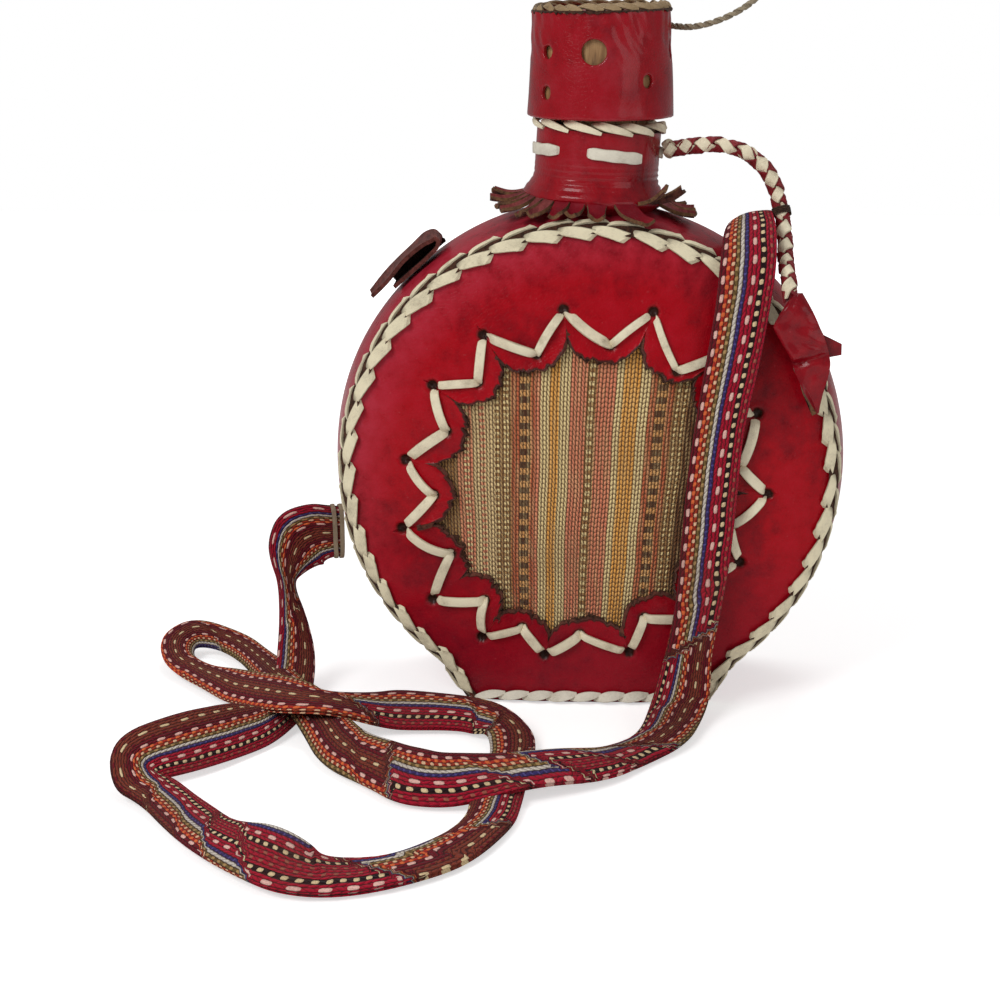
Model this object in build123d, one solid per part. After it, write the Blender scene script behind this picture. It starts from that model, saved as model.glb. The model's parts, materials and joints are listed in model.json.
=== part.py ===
from build123d import *
import os
from math import atan2, cos, hypot, pi, radians, sin, sqrt, tan

# Leather-covered gourd bottle: a flat round flask that stands on a cut base, with its front towards -Y.
# The origin is the middle of the base on the ground, X runs to the right and Z runs up. Sizes are in mm.
os.makedirs("parts", exist_ok=True)

# Body as seen from the front
seam_radius = 80.0
base_cut = 0.5
base_width = 76.0
foot_turn = 37.0  # degrees from straight down, where the round side turns into the foot

# Body as seen from the side
corner_half_depth = 26.5
face_rise = 9.0
side_bulge = 5.5
side_steps = 8

# Leather, cloth and the gourd inside
leather = 1.8
cloth = 0.8
layer_gap = 0.2
gourd_wall = 3.2

# Neck, measured along its own leaning axis from a point inside the body
neck_pivot_depth = 9.5
neck_lean = 3.5
neck_radius = 20.3
lip_height = 39.6
bore_radius = 13.2
skirt_height = 15.2
skirt_radius = 24.0
skirt_curve_height = 24.0
sleeve_top_drop = 0.8
rim_lace_drop = 1.2
rim_lace_rise = 1.6
rim_lace_thickness = 1.2
rim_lace_reach = 4.8

# Fringe cut from the skirt of the neck sleeve
fringe_count = 22
fringe_width = 6.2
fringe_long = 12.0
fringe_short = 6.0
fringe_slope_side = 21.0
fringe_slope_front = 6.0
fringe_root_depth = 2.5
fringe_root_height = 16.6

# Running lace round the neck
dash_turn = 54.0
dash_width = 3.6
dash_thickness = 1.0
dash_height = 31.7

# Window in the front face: its star of lace holes and its scalloped edge
star_x = -1.5
star_drop = 3.0
star_margin = 20.0
hole_radius = 2.0
lace_width = 3.6
lace_thickness = 1.0
lace_peg_radius = 1.4
cloth_margin = 4.0

# Edge lacing over the seams
edge_lace_radius = 3.4
base_lace_radius = 2.0
lace_foot_height = 2.4

# Stopper
cap_gap = 3.2
cap_tilt = -3.2
cap_bottom_radius = 24.0
cap_top_radius = 22.35
cap_height = 32.5
cap_hem_radius = 17.5
cap_lace_radius = 1.9
plug_length = 22.0
plug_clearance = 0.25
plug_taper = 0.7
socket_depth = 10.0
socket_clearance = 0.1
big_hole_radius = 4.0
small_hole_radius = 2.1
hole_row_drop = 12.5
hole_row_rise = 6.4
big_hole_turn = -96.0
small_hole_offset = 47.0

# Leather keepers on the left and right shoulders
keeper_width = 14.0
keeper_length = 25.0
keeper_loop = 8.4
keeper_tail = 30.0
left_keeper_turn = 131.0
left_keeper_y = -6.0
right_keeper_x = 66.0
right_keeper_height = 137.5
right_keeper_y = -34.2
right_keeper_drop = 38.0
right_keeper_run = 8.0

# Cords
cord_run_share = 0.45
braid_diameter = 5.2
tether_diameter = 2.2
knot_radius = 3.2
knot_length = 3.4
tie_thickness = 1.4
tie_length = 5.0
strap_thickness = 2.4
strap_lace_thickness = 1.4
strap_lace_length = 4.0

# Lengths of cuts that pass right through
overrun = 20.0

centre_height = seam_radius - base_cut
neck_pivot_height = centre_height + seam_radius - neck_pivot_depth
star_height = centre_height - star_drop
star_radius = seam_radius - star_margin
fringe_root_radius = skirt_radius - fringe_root_depth
hole_row_height = cap_height - hole_row_drop
cloth_radius = star_radius + cloth_margin
foot_sine = sin(radians(foot_turn))
foot_cosine = cos(radians(foot_turn))
corner_reach = hypot(base_width / 2, centre_height)
ball_radius = (corner_reach**2 + face_rise**2) / (2 * face_rise)
face_half_depth = corner_half_depth + face_rise
seam_half_depth = face_half_depth - ball_radius + sqrt(ball_radius**2 - seam_radius**2)
bulge_radius = (seam_half_depth**2 + side_bulge**2) / (2 * side_bulge)
skin = leather + layer_gap


def side_radius(y):
    """Distance from the body's centre to the outside of the side, at a depth of y."""
    return seam_radius + side_bulge - bulge_radius + sqrt(bulge_radius**2 - y**2)


def outline(radius, inset):
    """The body's outline from the front: round over the top, then down to the corners of the base."""
    r = radius - inset
    hip = (r * foot_sine, centre_height - r * foot_cosine)
    rise = atan2(hip[1], hip[0] - base_width / 2)
    corner = (base_width / 2 - inset * tan(rise / 2), inset)
    arc = ThreePointArc((-hip[0], hip[1]), (0, centre_height + r), hip)
    foot = Polyline(hip, corner, (-corner[0], corner[1]), (-hip[0], hip[1]))
    return make_face(arc + foot)


def barrel(inset):
    """The body's side surface as a solid, longer than the body is deep."""
    step = 2 * face_half_depth / side_steps
    depths = [-face_half_depth + n * step for n in range(side_steps + 1)]
    sections = [Plane.XZ.offset(-y) * outline(side_radius(y), inset) for y in depths]
    return loft(sections, ruled=True)


def face_ball(inset, side):
    """Ball whose surface is a face of the body: side is -1 for the front and 1 for the back."""
    centre = Pos(0, side * (face_half_depth - ball_radius), centre_height)
    return centre * Sphere(ball_radius - inset)


def body_form(edge_inset, front_inset, back_inset):
    """The body's whole form, inset by its own amount at the side, the front and the back."""
    form = barrel(edge_inset) & face_ball(front_inset, -1)
    return form & face_ball(back_inset, 1)


def face_y(x, z):
    """How far the front face stands in front of the middle of the body."""
    return face_half_depth - ball_radius + sqrt(ball_radius**2 - x**2 - (z - centre_height) ** 2)


# The neck's axis leans to the right, so the parts round it are drawn upright and then placed by this frame.
neck_frame = Location((0, 0, neck_pivot_height), (0, neck_lean, 0))
plug_frame = neck_frame * Location((0, 0, lip_height + cap_gap))
cap_frame = plug_frame * Location((0, 0, 0), (0, cap_tilt, 0))


def ring(inner, outer, low, high):
    """A plain ring round the Z axis."""
    middle = Pos(0, 0, (low + high) / 2)
    return middle * (Cylinder(outer, high - low) - Cylinder(inner, high - low + overrun))


def turned(points):
    """A solid turned round the Z axis from an outline of radius and height."""
    return revolve(Plane.XZ * make_face(Polyline(*points, close=True)), Axis.Z)


def polar(radius, turn, height):
    """A point given by its distance from the Z axis, its turn in degrees and its height."""
    return (radius * cos(radians(turn)), radius * sin(radians(turn)), height)


def gourd_flask():
    """The hard gourd shell with its neck and mouth."""
    body = body_form(skin, skin + cloth + layer_gap, skin)
    inside = body_form(skin + gourd_wall, skin + cloth + layer_gap + gourd_wall, skin + gourd_wall)
    neck_low = skirt_height - skin - gourd_wall
    tube = neck_frame * Pos(0, 0, (neck_low + lip_height) / 2) * Cylinder(
        neck_radius - skin, lip_height - neck_low
    )
    bore = neck_frame * Cylinder(bore_radius, 2 * (lip_height + overrun))
    return (body + tube) - inside - (bore & Pos(0, 0, neck_pivot_height) * Box(
        2 * seam_radius, 2 * seam_radius, 2 * (lip_height + overrun)
    ))


def neck_hole(clearance):
    """The room that the neck takes in the leather of the side."""
    return neck_frame * Cylinder(neck_radius - skin + clearance, 2 * (lip_height + overrun))


def side_leather():
    """The leather round the side and under the base, before it is cut in two pieces."""
    tube = barrel(0) - barrel(leather)
    return tube & face_ball(skin, -1) & face_ball(skin, 1)


def base_slab(height):
    """Everything below a height."""
    return Pos(0, 0, height / 2 - overrun / 2) * Box(
        2 * seam_radius, 2 * face_half_depth, height + overrun
    )


def side_band(leather_ring):
    """The strip of leather round the side, with the neck's hole."""
    return leather_ring - base_slab(leather + layer_gap) - neck_hole(layer_gap)


def base_panel(leather_ring):
    """The flat leather bottom that the bottle stands on."""
    return leather_ring & base_slab(leather)


def face_panel(side, shape):
    """One domed leather face of a flat shape."""
    prism = extrude(Plane.XZ * shape, -side * face_half_depth)
    return prism & (face_ball(0, side) - face_ball(leather, side))


# Turns round the star, in degrees from the right, and distances as shares of the star's radius. The
# lace holes were punched and the scallops cut by hand, so they are uneven.
outer_turns = [97, 69, 45, 23, -3, -27, -51, -75, -102, -122, -141, -165, -187, -213, -236]
outer_shares = [0.96, 1.01, 1.01, 1.01, 1.0, 0.96, 0.98, 1.0, 1.01, 1.05, 1.07, 1.03, 0.98, 0.98, 0.98]
inner_turns = [80, 52, 33, 7, -16, -40, -66, -91, -112, -129, -151, -175, -201, -224, -250]
inner_shares = [0.78, 0.8, 0.82, 0.85, 0.83, 0.83, 0.83, 0.86, 0.89, 0.86, 0.83, 0.82, 0.8, 0.8, 0.76]
cusp_shares = [0.8, 0.87, 0.86, 0.86, 0.86, 0.84, 0.85, 0.89, 0.89, 0.9, 0.83, 0.9, 0.83, 0.85, 0.84]
lobe_shares = [0.69, 0.74, 0.74, 0.75, 0.72, 0.7, 0.73, 0.77, 0.8, 0.76, 0.77, 0.72, 0.7, 0.7, 0.68]


def star_points(turns, shares):
    """Points round the star, as X and Z."""
    points = []
    for turn, share in zip(turns, shares):
        reach = share * star_radius
        x = star_x + reach * cos(radians(turn))
        z = star_height + reach * sin(radians(turn))
        points.append((x, z))
    return points


outer_holes = star_points(outer_turns, outer_shares)
inner_holes = star_points(inner_turns, inner_shares)
cusps = star_points(outer_turns, cusp_shares)
lobes = star_points(inner_turns, lobe_shares)


def window():
    """The window with its scalloped edge: one round lobe between each two cusps."""
    edge = []
    for n, cusp in enumerate(cusps):
        edge.append(ThreePointArc(cusp, lobes[n], cusps[(n + 1) % len(cusps)]))
    return make_face(Curve() + edge)


def front_panel():
    """The front face with its window and its lace holes."""
    holes = [Pos(*spot) * Circle(hole_radius) for spot in outer_holes + inner_holes]
    return face_panel(-1, outline(seam_radius, 0) - window() - holes)


def textile_inlay():
    """The woven cloth behind the window, held between the leather and the gourd."""
    shell = face_ball(skin, -1) - face_ball(skin + cloth, -1)
    place = Pos(star_x, -face_half_depth, star_height) * Rot(90, 0, 0)
    return shell & place * Cylinder(cloth_radius, face_half_depth)


def lace_strip(start, end):
    """One straight stitch of the window's lace, lying on the leather."""
    x, z = (start[0] + end[0]) / 2, (start[1] + end[1]) / 2
    outward = Vector(x, -face_y(x, z) - (ball_radius - face_half_depth), z - centre_height).normalized()
    middle = Vector(x, -face_y(x, z), z) + outward * (layer_gap + lace_thickness / 2)
    run = Vector(end[0] - start[0], face_y(*start) - face_y(*end), end[1] - start[1])
    frame = Plane(middle, x_dir=run, z_dir=outward)
    return frame * Box(run.length, lace_width, lace_thickness)


def lace_peg(point):
    """The end of a stitch, where the lace goes down through its hole as far as the cloth."""
    x, z = point
    length = leather + layer_gap + lace_thickness / 2
    place = Pos(x, -face_y(x, z) + leather - length / 2, z) * Rot(90, 0, 0)
    return place * Cylinder(lace_peg_radius, length)


def window_lacing():
    """The zigzag lace round the window, in and out of its two rings of holes."""
    pieces = []
    for n, outer in enumerate(outer_holes):
        inner = inner_holes[n]
        pieces.append(lace_strip(outer, inner))
        pieces.append(lace_strip(inner, outer_holes[(n + 1) % len(outer_holes)]))
        pieces.append(lace_peg(outer))
        pieces.append(lace_peg(inner))
    return Part() + pieces


def seam_bead(side):
    """The path of the edge lace over one seam, as a round bead."""
    y = side * (seam_half_depth - leather / 2)
    arc_turn = 360 - 2 * foot_turn
    start = Location((0, y, centre_height), (0, 90 + foot_turn, 0))
    hoop = start * Rot(-90, 0, 0) * revolve(
        Plane.XZ * Pos(seam_radius, 0) * Circle(edge_lace_radius), Axis.Z, arc_turn
    )
    bead = [hoop]
    for mirror in (-1, 1):
        hip = Vector(mirror * seam_radius * foot_sine, y, centre_height - seam_radius * foot_cosine)
        corner = Vector(mirror * base_width / 2, y, 0)
        leg = corner - hip
        bead.append(Plane(hip, z_dir=leg) * Pos(0, 0, leg.length / 2) * Cylinder(edge_lace_radius, leg.length))
        bead.append(Pos(*hip) * Sphere(edge_lace_radius))
    return Part() + bead


def edge_lacing(side, envelope):
    """The edge lace: what stands outside the leather, from the base up round the top and down again."""
    return seam_bead(side) - envelope - base_slab(lace_foot_height)


def base_lacing(side, envelope):
    """The whipped lace along one long edge of the base."""
    length = base_width - 2 * edge_lace_radius
    y = side * (face_y(0, 0) + layer_gap)
    rod = Pos(0, y, base_lace_radius) * Rot(0, 90, 0) * Cylinder(base_lace_radius, length)
    return rod - envelope - seam_bead(side)


def neck_sleeve():
    """The leather round the neck, with its skirt cut into a fringe."""
    inner = neck_radius - leather
    top = lip_height - sleeve_top_drop
    knee = (skirt_curve_height + skirt_height) / 2 - leather
    profile = [
        (inner, skirt_height),
        (skirt_radius, skirt_height),
        (skirt_radius, skirt_height + leather),
        ((neck_radius + skirt_radius) / 2 - leather / 2, knee),
        (neck_radius, skirt_curve_height),
        (neck_radius, top),
        (inner, top),
    ]
    sleeve = [turned(profile)]
    for n in range(fringe_count):
        turn = 360 * (n + 0.5) / fringe_count
        side = abs(cos(radians(turn)))
        length = fringe_short + (fringe_long - fringe_short) * side + fringe_root_depth
        slope = fringe_slope_front + (fringe_slope_side - fringe_slope_front) * side
        root = Location(polar(fringe_root_radius, turn, fringe_root_height), (0, 0, turn))
        sleeve.append(root * Rot(0, slope, 0) * Pos(length / 2, 0, 0) * Box(length, fringe_width, leather))
    return neck_frame * (Part() + sleeve)


def neck_rim_lacing():
    """The whipped lace over the rim of the neck."""
    low = lip_height - rim_lace_drop
    high = lip_height + rim_lace_rise
    wall = ring(neck_radius + layer_gap, neck_radius + rim_lace_thickness, low, high)
    cover = ring(neck_radius - rim_lace_reach, neck_radius + rim_lace_thickness, lip_height + layer_gap, high)
    return neck_frame * (wall + cover)


# Turns of the middles of the running lace's dashes, in degrees from the right
dash_turns = [-73, -154, 118, 22]


def neck_running_lace():
    """The flat lace round the neck, where it shows between its slits."""
    inner = neck_radius + layer_gap
    dashes = []
    for turn in dash_turns:
        bar = Plane.XZ * Pos(inner + dash_thickness / 2, dash_height) * Rectangle(dash_thickness, dash_width)
        arc = revolve(bar, Axis.Z, dash_turn)
        dashes.append(neck_frame * Rot(0, 0, turn - dash_turn / 2) * arc)
    return dashes


def cap_radius(height):
    """The tapering cap's outer radius at a height above its lower edge."""
    return cap_bottom_radius + (cap_top_radius - cap_bottom_radius) * height / cap_height


# Punched by eye: how far below the row each pair of small holes is, as a share of the row's rise
pair_sink_shares = [0.22, 0.5, 0.6, 0.84]
big_hole_share = 0.23


def cap_holes():
    """The punched holes: a big one, then a pair of small ones, and so on round the cap."""
    holes = []
    for n, sink in enumerate(pair_sink_shares):
        turn = big_hole_turn + 360 * n / len(pair_sink_shares)
        middle = hole_row_height - sink * hole_row_rise
        spots = [(turn, hole_row_height + big_hole_share * hole_row_rise, big_hole_radius)]
        spots.append((turn + small_hole_offset, middle + hole_row_rise, small_hole_radius))
        spots.append((turn + small_hole_offset, middle - hole_row_rise, small_hole_radius))
        for spot_turn, height, radius in spots:
            place = Location((0, 0, height), (0, 0, spot_turn)) * Rot(0, 90, 0)
            holes.append(place * Pos(0, 0, cap_bottom_radius) * Cylinder(radius, cap_bottom_radius))
    return holes


def cap_wall():
    """The leather wall of the cap, with its lower edge turned under."""
    profile = [
        (cap_hem_radius, 0),
        (cap_radius(0), 0),
        (cap_radius(cap_height), cap_height),
        (cap_radius(cap_height) - leather, cap_height),
        (cap_radius(leather) - leather, leather),
        (cap_hem_radius, leather),
    ]
    return cap_frame * (turned(profile) - cap_holes())


def cap_core():
    """The turned wooden block inside the cap, with a socket for the plug."""
    low = skin
    high = cap_height - skin
    profile = [
        (0, low),
        (cap_radius(low) - skin, low),
        (cap_radius(high) - skin, high),
        (0, high),
    ]
    depth = 2 * (skin + socket_depth + socket_clearance)
    socket = Cylinder(bore_radius - plug_clearance + socket_clearance, depth)
    return cap_frame * turned(profile) - plug_frame * socket


def cap_top_disc():
    """The round leather top of the cap."""
    radius = cap_radius(cap_height) - skin
    return cap_frame * Pos(0, 0, cap_height - leather / 2) * Cylinder(radius, leather)


def cap_top_lacing():
    """The whipped braid round the top of the cap."""
    radius = cap_top_radius - leather / 2
    bead = Pos(0, 0, cap_height) * Torus(radius, cap_lace_radius)
    room = turned([
        (0, 0),
        (cap_radius(0) + layer_gap, 0),
        (cap_radius(cap_height) + layer_gap, cap_height),
        (cap_radius(cap_height) + layer_gap, cap_height + layer_gap),
        (0, cap_height + layer_gap),
    ])
    return cap_frame * (bead - room)


def cork_plug():
    """The cork, glued in the cap's socket, that seals the mouth."""
    wide = bore_radius - plug_clearance
    return plug_frame * turned([
        (0, -plug_length),
        (wide - plug_taper, -plug_length),
        (wide, 0),
        (wide, skin + socket_depth),
        (0, skin + socket_depth),
    ])


def left_keeper():
    """A leather strip folded back on itself, standing on the left shoulder."""
    turn = radians(left_keeper_turn)
    reach = side_radius(left_keeper_y) + leather / 2 + 3 * layer_gap
    origin = Vector(reach * cos(turn), left_keeper_y, centre_height + reach * sin(turn))
    frame = Plane(origin, x_dir=(sin(turn), 0, -cos(turn)), z_dir=(0, -1, 0))
    half = keeper_length / 2
    route = Polyline(
        (-half, 0),
        (half - keeper_loop / 3, 0),
        (half, keeper_loop / 4),
        (half, keeper_loop * 3 / 4),
        (half - keeper_loop / 3, keeper_loop),
        (half - keeper_tail, keeper_loop),
    )
    strip = offset(route, amount=leather / 2, kind=Kind.INTERSECTION)
    return extrude(frame * make_face(strip), keeper_width / 2, both=True)


# Sections of the right keeper from its fold down to its tip: shares of its drop, of its sideways run and
# of its half width.
keeper_drop_shares = [0, 0.27, 0.55, 0.8, 1.0]
keeper_run_shares = [0, 0.12, 0.75, 0.94, 1.0]
keeper_width_shares = [0.5, 1.15, 0.95, 0.62, 0.14]


def right_keeper():
    """The strip at the right shoulder: folded over the end of the braid, its tongue hanging in front."""
    sections = []
    for drop, run, width in zip(keeper_drop_shares, keeper_run_shares, keeper_width_shares):
        x = right_keeper_x + run * right_keeper_run
        z = right_keeper_height - drop * right_keeper_drop
        frame = Plane((x, right_keeper_y, z), x_dir=(1, 0, 0), z_dir=(0, 0, 1))
        sections.append(frame * Rectangle(keeper_width * width, 2 * leather))
    return loft(sections, ruled=True)


def cord_radii(points):
    """The arc at each corner of a cord's route: as large as its two runs allow."""
    radii = []
    for before, corner, after in zip(points, points[1:], points[2:]):
        incoming, outgoing = Vector(*corner) - Vector(*before), Vector(*after) - Vector(*corner)
        half_turn = radians(incoming.get_angle(outgoing)) / 2
        radii.append(cord_run_share * min(incoming.length, outgoing.length) / tan(half_turn))
    return radii


def cord(points, diameter, name):
    """A round cord along a route of straight runs joined by arcs."""
    radii = cord_radii(points)
    path = FilletPolyline(*points, radius=radii)
    tube = sweep(Plane(path @ 0, z_dir=path % 0) * Circle(diameter / 2), path)
    section = pi * diameter**2 / 4
    print(name, "length", round(path.length, 1), "volume share", round(tube.volume / section / path.length, 4))
    print("  arc radii", [round(radius, 1) for radius in radii])
    return tube


# The braid from the neck to the right keeper
braid_route = [
    (25.4, -2, 182.2),
    (34, -3, 183.6),
    (44, -5, 183.8),
    (52, -6, 181),
    (57.8, -6.6, 174.8),
    (61.2, -7.6, 167),
    (63.2, -11, 158.4),
    (64.4, -19, 150.4),
    (65.4, -29, 145),
    (66, -34, 139.2),
]

# The cap's tether: out to the right from behind the cap, over in a loop and down behind the neck
tether_route = [
    (23.5, 12.2, 221.5),
    (30, 8, 220.4),
    (38, 4, 222),
    (46, 2, 225.4),
    (53, 3, 230),
    (57, 9, 236),
    (54, 19, 240.5),
    (45, 29, 241),
    (33, 36, 238),
    (22, 39, 230),
    (16, 38, 218),
    (13.5, 34, 206),
    (12, 30, 195),
    (10.5, 26.6, 184),
]

# The woven strap, folded along its middle: at each point its place, the direction across its width and
# its width there. It hangs down the front, runs over the ground in two loops and climbs to the left side.
strap_route = [
    (53.4, 1, 158.5, -1, 0, -0.42, 8),
    (53.4, -4, 161.8, -1, 0, -0.45, 8),
    (53, -10.5, 162.4, -1, 0, -0.42, 8.6),
    (51.6, -23.5, 158.4, -1, -0.05, -0.3, 15),
    (50, -33, 149.5, -1, -0.15, 0, 17.5),
    (48.5, -36, 136.3, -1, -0.05, 0, 16.5),
    (46, -37.5, 120.4, -1, 0, 0, 16.5),
    (42, -38, 99.4, -1, 0, 0, 15),
    (40, -38.5, 79.7, -1, 0, 0, 16),
    (38.5, -38.5, 57.9, -1, 0, 0, 16),
    (36.5, -38.5, 37.5, -1, 0, 0, 14.5),
    (33.5, -38.5, 21.7, -1, 0.05, 0, 14),
    (32, -41, 9, -1, 0.1, -0.05, 17.5),
    (29.5, -49.5, 4.4, -0.95, 0.25, 0.1, 17),
    (24.5, -70, 2.4, -0.85, 0.5, 0, 16),
    (13, -84, 1.9, -0.4, 0.9, 0, 15),
    (2, -99.5, 4.9, -0.2, 0.95, 0.2, 17),
    (-16, -111, 7.5, -0.05, 1, 0.15, 17),
    (-34.5, -118, 7, -0.05, 0.9, 0.4, 19),
    (-43, -120.5, 7, -0.05, 0.85, 0.55, 19),
    (-52, -120, 8, -0.02, 0.8, 0.6, 18.5),
    (-61, -108, 6.8, 0, 0.93, 0.36, 16.5),
    (-75.5, -91, 5.4, 0.3, 0.9, 0.3, 17),
    (-84, -67.5, 5.5, 0.5, 0.85, 0.1, 16),
    (-93.5, -49.5, 6.9, 0.6, 0.8, 0, 16),
    (-104, -28.5, 7.2, 0.65, 0.75, 0.2, 17),
    (-115.5, 0, 5, 0.45, 0.9, 0.2, 17),
    (-126, 18.5, 4.5, 0.05, 0.95, 0.25, 17),
    (-139, 21, 7.4, -0.45, 0.68, 0.58, 17.5),
    (-143.5, 13, 6, -0.85, 0.25, 0.45, 16),
    (-142, 1.5, 4, -0.9, -0.4, 0.15, 15),
    (-135, -8, 3.2, -0.6, -0.8, 0, 16),
    (-126, -20, 4.8, -0.25, -0.95, -0.2, 18),
    (-115.5, -36, 6.5, -0.2, -0.9, -0.35, 18),
    (-104, -50.5, 9.8, -0.15, -0.95, -0.35, 17),
    (-92.5, -65, 12.8, -0.1, -0.95, -0.2, 16.5),
    (-83.5, -65, 11.5, 0, -1, 0, 16),
    (-68, -58, 6.5, 0.15, -0.95, -0.25, 16),
    (-59.5, -54.5, 5.7, 0.1, -0.9, -0.4, 18),
    (-39.5, -53.5, 4.5, 0, -0.95, -0.3, 17),
    (-31, -59.5, 4.4, -0.2, -0.95, -0.3, 16),
    (-24, -66.5, 3.1, -0.45, -0.9, 0, 15),
    (-22.5, -84.5, 1.9, -0.9, -0.45, 0, 13.5),
    (-24.5, -104.5, 1.9, -0.95, -0.3, 0, 13.5),
    (-26.5, -125, 1.9, -1, -0.05, 0, 15),
    (-27.5, -141, 1.9, -1, 0.2, 0, 13.5),
    (-38.5, -164, 2, -0.4, 0.9, 0, 17),
    (-53, -177.5, 2.4, -0.2, 1, 0.05, 17),
    (-69.5, -184, 3, -0.1, 1, 0.1, 18),
    (-78.5, -184.5, 6.1, -0.05, 0.9, 0.45, 19),
    (-89, -178.5, 8.2, -0.05, 0.9, 0.45, 19),
    (-103.5, -161, 4.8, 0, 1, 0.1, 18),
    (-112.5, -146, 3, 0.35, 0.95, 0.1, 18),
    (-125.5, -124, 2.4, 0.67, 0.74, 0, 18),
    (-133.5, -117, 3.6, 0.9, 0.4, -0.15, 19),
    (-137, -109, 8, 0.9, -0.05, -0.43, 19),
    (-122, -97, 9.6, 0.66, -0.2, -0.72, 19),
    (-111.5, -82, 7.8, 0.6, -0.35, -0.72, 18),
    (-104.5, -70, 6.2, 0.72, -0.35, -0.6, 17),
    (-99.5, -52, 2.8, 0.97, -0.2, -0.05, 14),
    (-98.5, -32, 2.4, 1, 0, 0, 13),
    (-99, -16.5, 12, 0.96, 0.2, -0.17, 13),
    (-100.5, -12.5, 23, 0.86, 0.43, -0.28, 9.5),
    (-103.5, -7.5, 34.2, 0.7, 0.6, -0.4, 5),
    (-103, -5.5, 39.1, 0.85, 0.4, -0.35, 12),
    (-101.5, -3, 43.8, 0.8, 0.3, -0.55, 19.5),
    (-98.5, -1.8, 48.6, 0.69, 0.22, -0.69, 24),
    (-93.5, -0.5, 50.6, 0.5, 0.16, -0.85, 21),
    (-88.5, 0.6, 50.8, 0.2, 0.09, -0.97, 17.6),
    (-84, 1.2, 50.8, 0.08, 0.05, -1, 17),
]


def strap_frame(n):
    """The plane square to the strap's run at one point, with its X axis across the strap."""
    here = Vector(*strap_route[n][:3])
    before = Vector(*strap_route[max(n - 1, 0)][:3])
    after = Vector(*strap_route[min(n + 1, len(strap_route) - 1)][:3])
    run = (after - before).normalized()
    across = Vector(*strap_route[n][3:6])
    across = (across - run * across.dot(run)).normalized()
    return Plane(here, x_dir=across, z_dir=run)


def shoulder_strap():
    """The strap as one folded band, straight between the points of its route."""
    sections = []
    for n, station in enumerate(strap_route):
        sections.append(strap_frame(n) * Rectangle(station[6], strap_thickness))
    strap = loft(sections, ruled=True)
    length = sum(
        (Vector(*b[:3]) - Vector(*a[:3])).length for a, b in zip(strap_route, strap_route[1:])
    )
    width = sum(station[6] for station in strap_route) / len(strap_route)
    print("shoulder_strap length", round(length), "volume share", round(
        strap.volume / (length * width * strap_thickness), 3
    ))
    return strap


def strap_lace_left():
    """The lace that ties the strap's end at the left side, as a flat loop round it."""
    room = 3 * layer_gap
    width = strap_route[-1][6] + 2 * room
    outer = Box(width + 2 * strap_lace_thickness, strap_thickness + 2 * room + 2 * strap_lace_thickness,
                strap_lace_length)
    loop = outer - Box(width, strap_thickness + 2 * room, strap_lace_length + overrun)
    return strap_frame(len(strap_route) - 1) * Pos(0, 0, -strap_lace_length / 2) * loop


def braid_tie():
    """The dark thread wound round the braid where the strap is tied to it."""
    low, high = Vector(*braid_route[5]), Vector(*braid_route[6])
    frame = Plane((low + high) / 2, z_dir=high - low)
    inner = braid_diameter / 2 + layer_gap
    return frame * ring(inner, inner + tie_thickness, -tie_length / 2, tie_length / 2)


def round_knot(route, radius):
    """A short knot at the start of a cord, in line with its first run."""
    start, second = Vector(*route[0]), Vector(*route[1])
    frame = Plane(start, z_dir=start - second)
    return frame * Pos(0, 0, knot_length / 2) * Cylinder(radius, knot_length)


leather_ring = side_leather()
outside = body_form(-layer_gap, -layer_gap, -layer_gap)
neck_room = neck_frame * Pos(0, 0, lip_height) * Cylinder(
    neck_radius + rim_lace_thickness + 2 * layer_gap, 2 * lip_height
)

pieces = {
    "gourd_flask": gourd_flask(),
    "front_panel": front_panel(),
    "back_panel": face_panel(1, outline(seam_radius, 0)),
    "side_band": side_band(leather_ring),
    "base_panel": base_panel(leather_ring),
    "textile_inlay": textile_inlay(),
    "window_lacing": window_lacing(),
    "front_edge_lacing": edge_lacing(-1, outside),
    "back_edge_lacing": edge_lacing(1, outside),
    "base_front_lacing": base_lacing(-1, outside),
    "base_back_lacing": base_lacing(1, outside),
    "neck_sleeve": neck_sleeve(),
    "neck_rim_lacing": neck_rim_lacing(),
    "neck_running_lace": neck_running_lace(),
    "cork_plug": cork_plug(),
    "cap_core": cap_core(),
    "cap_wall": cap_wall(),
    "cap_top_disc": cap_top_disc(),
    "cap_top_lacing": cap_top_lacing(),
    "left_keeper": left_keeper(),
    "right_keeper": right_keeper(),
    "neck_braid": cord(braid_route, braid_diameter, "neck_braid"),
    "braid_knot": round_knot(braid_route, knot_radius) - neck_room,
    "braid_tie": braid_tie(),
    "cap_tether": cord(tether_route, tether_diameter, "cap_tether"),
    "tether_knot": round_knot(tether_route[::-1], knot_radius - tie_thickness / 2) - neck_room,
    "shoulder_strap": shoulder_strap(),
    "strap_lace_left": strap_lace_left(),
}

for name, piece in pieces.items():
    solid = Compound(children=list(piece)) if isinstance(piece, list) else piece
    solid.label = name
    export_step(solid, f"parts/{name}.step")
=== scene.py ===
# %% [markdown]
# # A leather-covered gourd bottle
# This lesson dresses a flat round bottle: a gourd covered in glossy red leather, laced with pale rawhide,
# with a striped cloth in its front and a woven strap beside it. The solid model is loaded first, as a fixed
# frame that says where each part is, and every new piece is laid over it. All places are in millimetres in
# the text below, and are turned into Blender's metres as the meshes are written.
# %% Load the frame
import json
from math import atan2, cos, hypot, pi, radians, sin, sqrt

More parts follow.
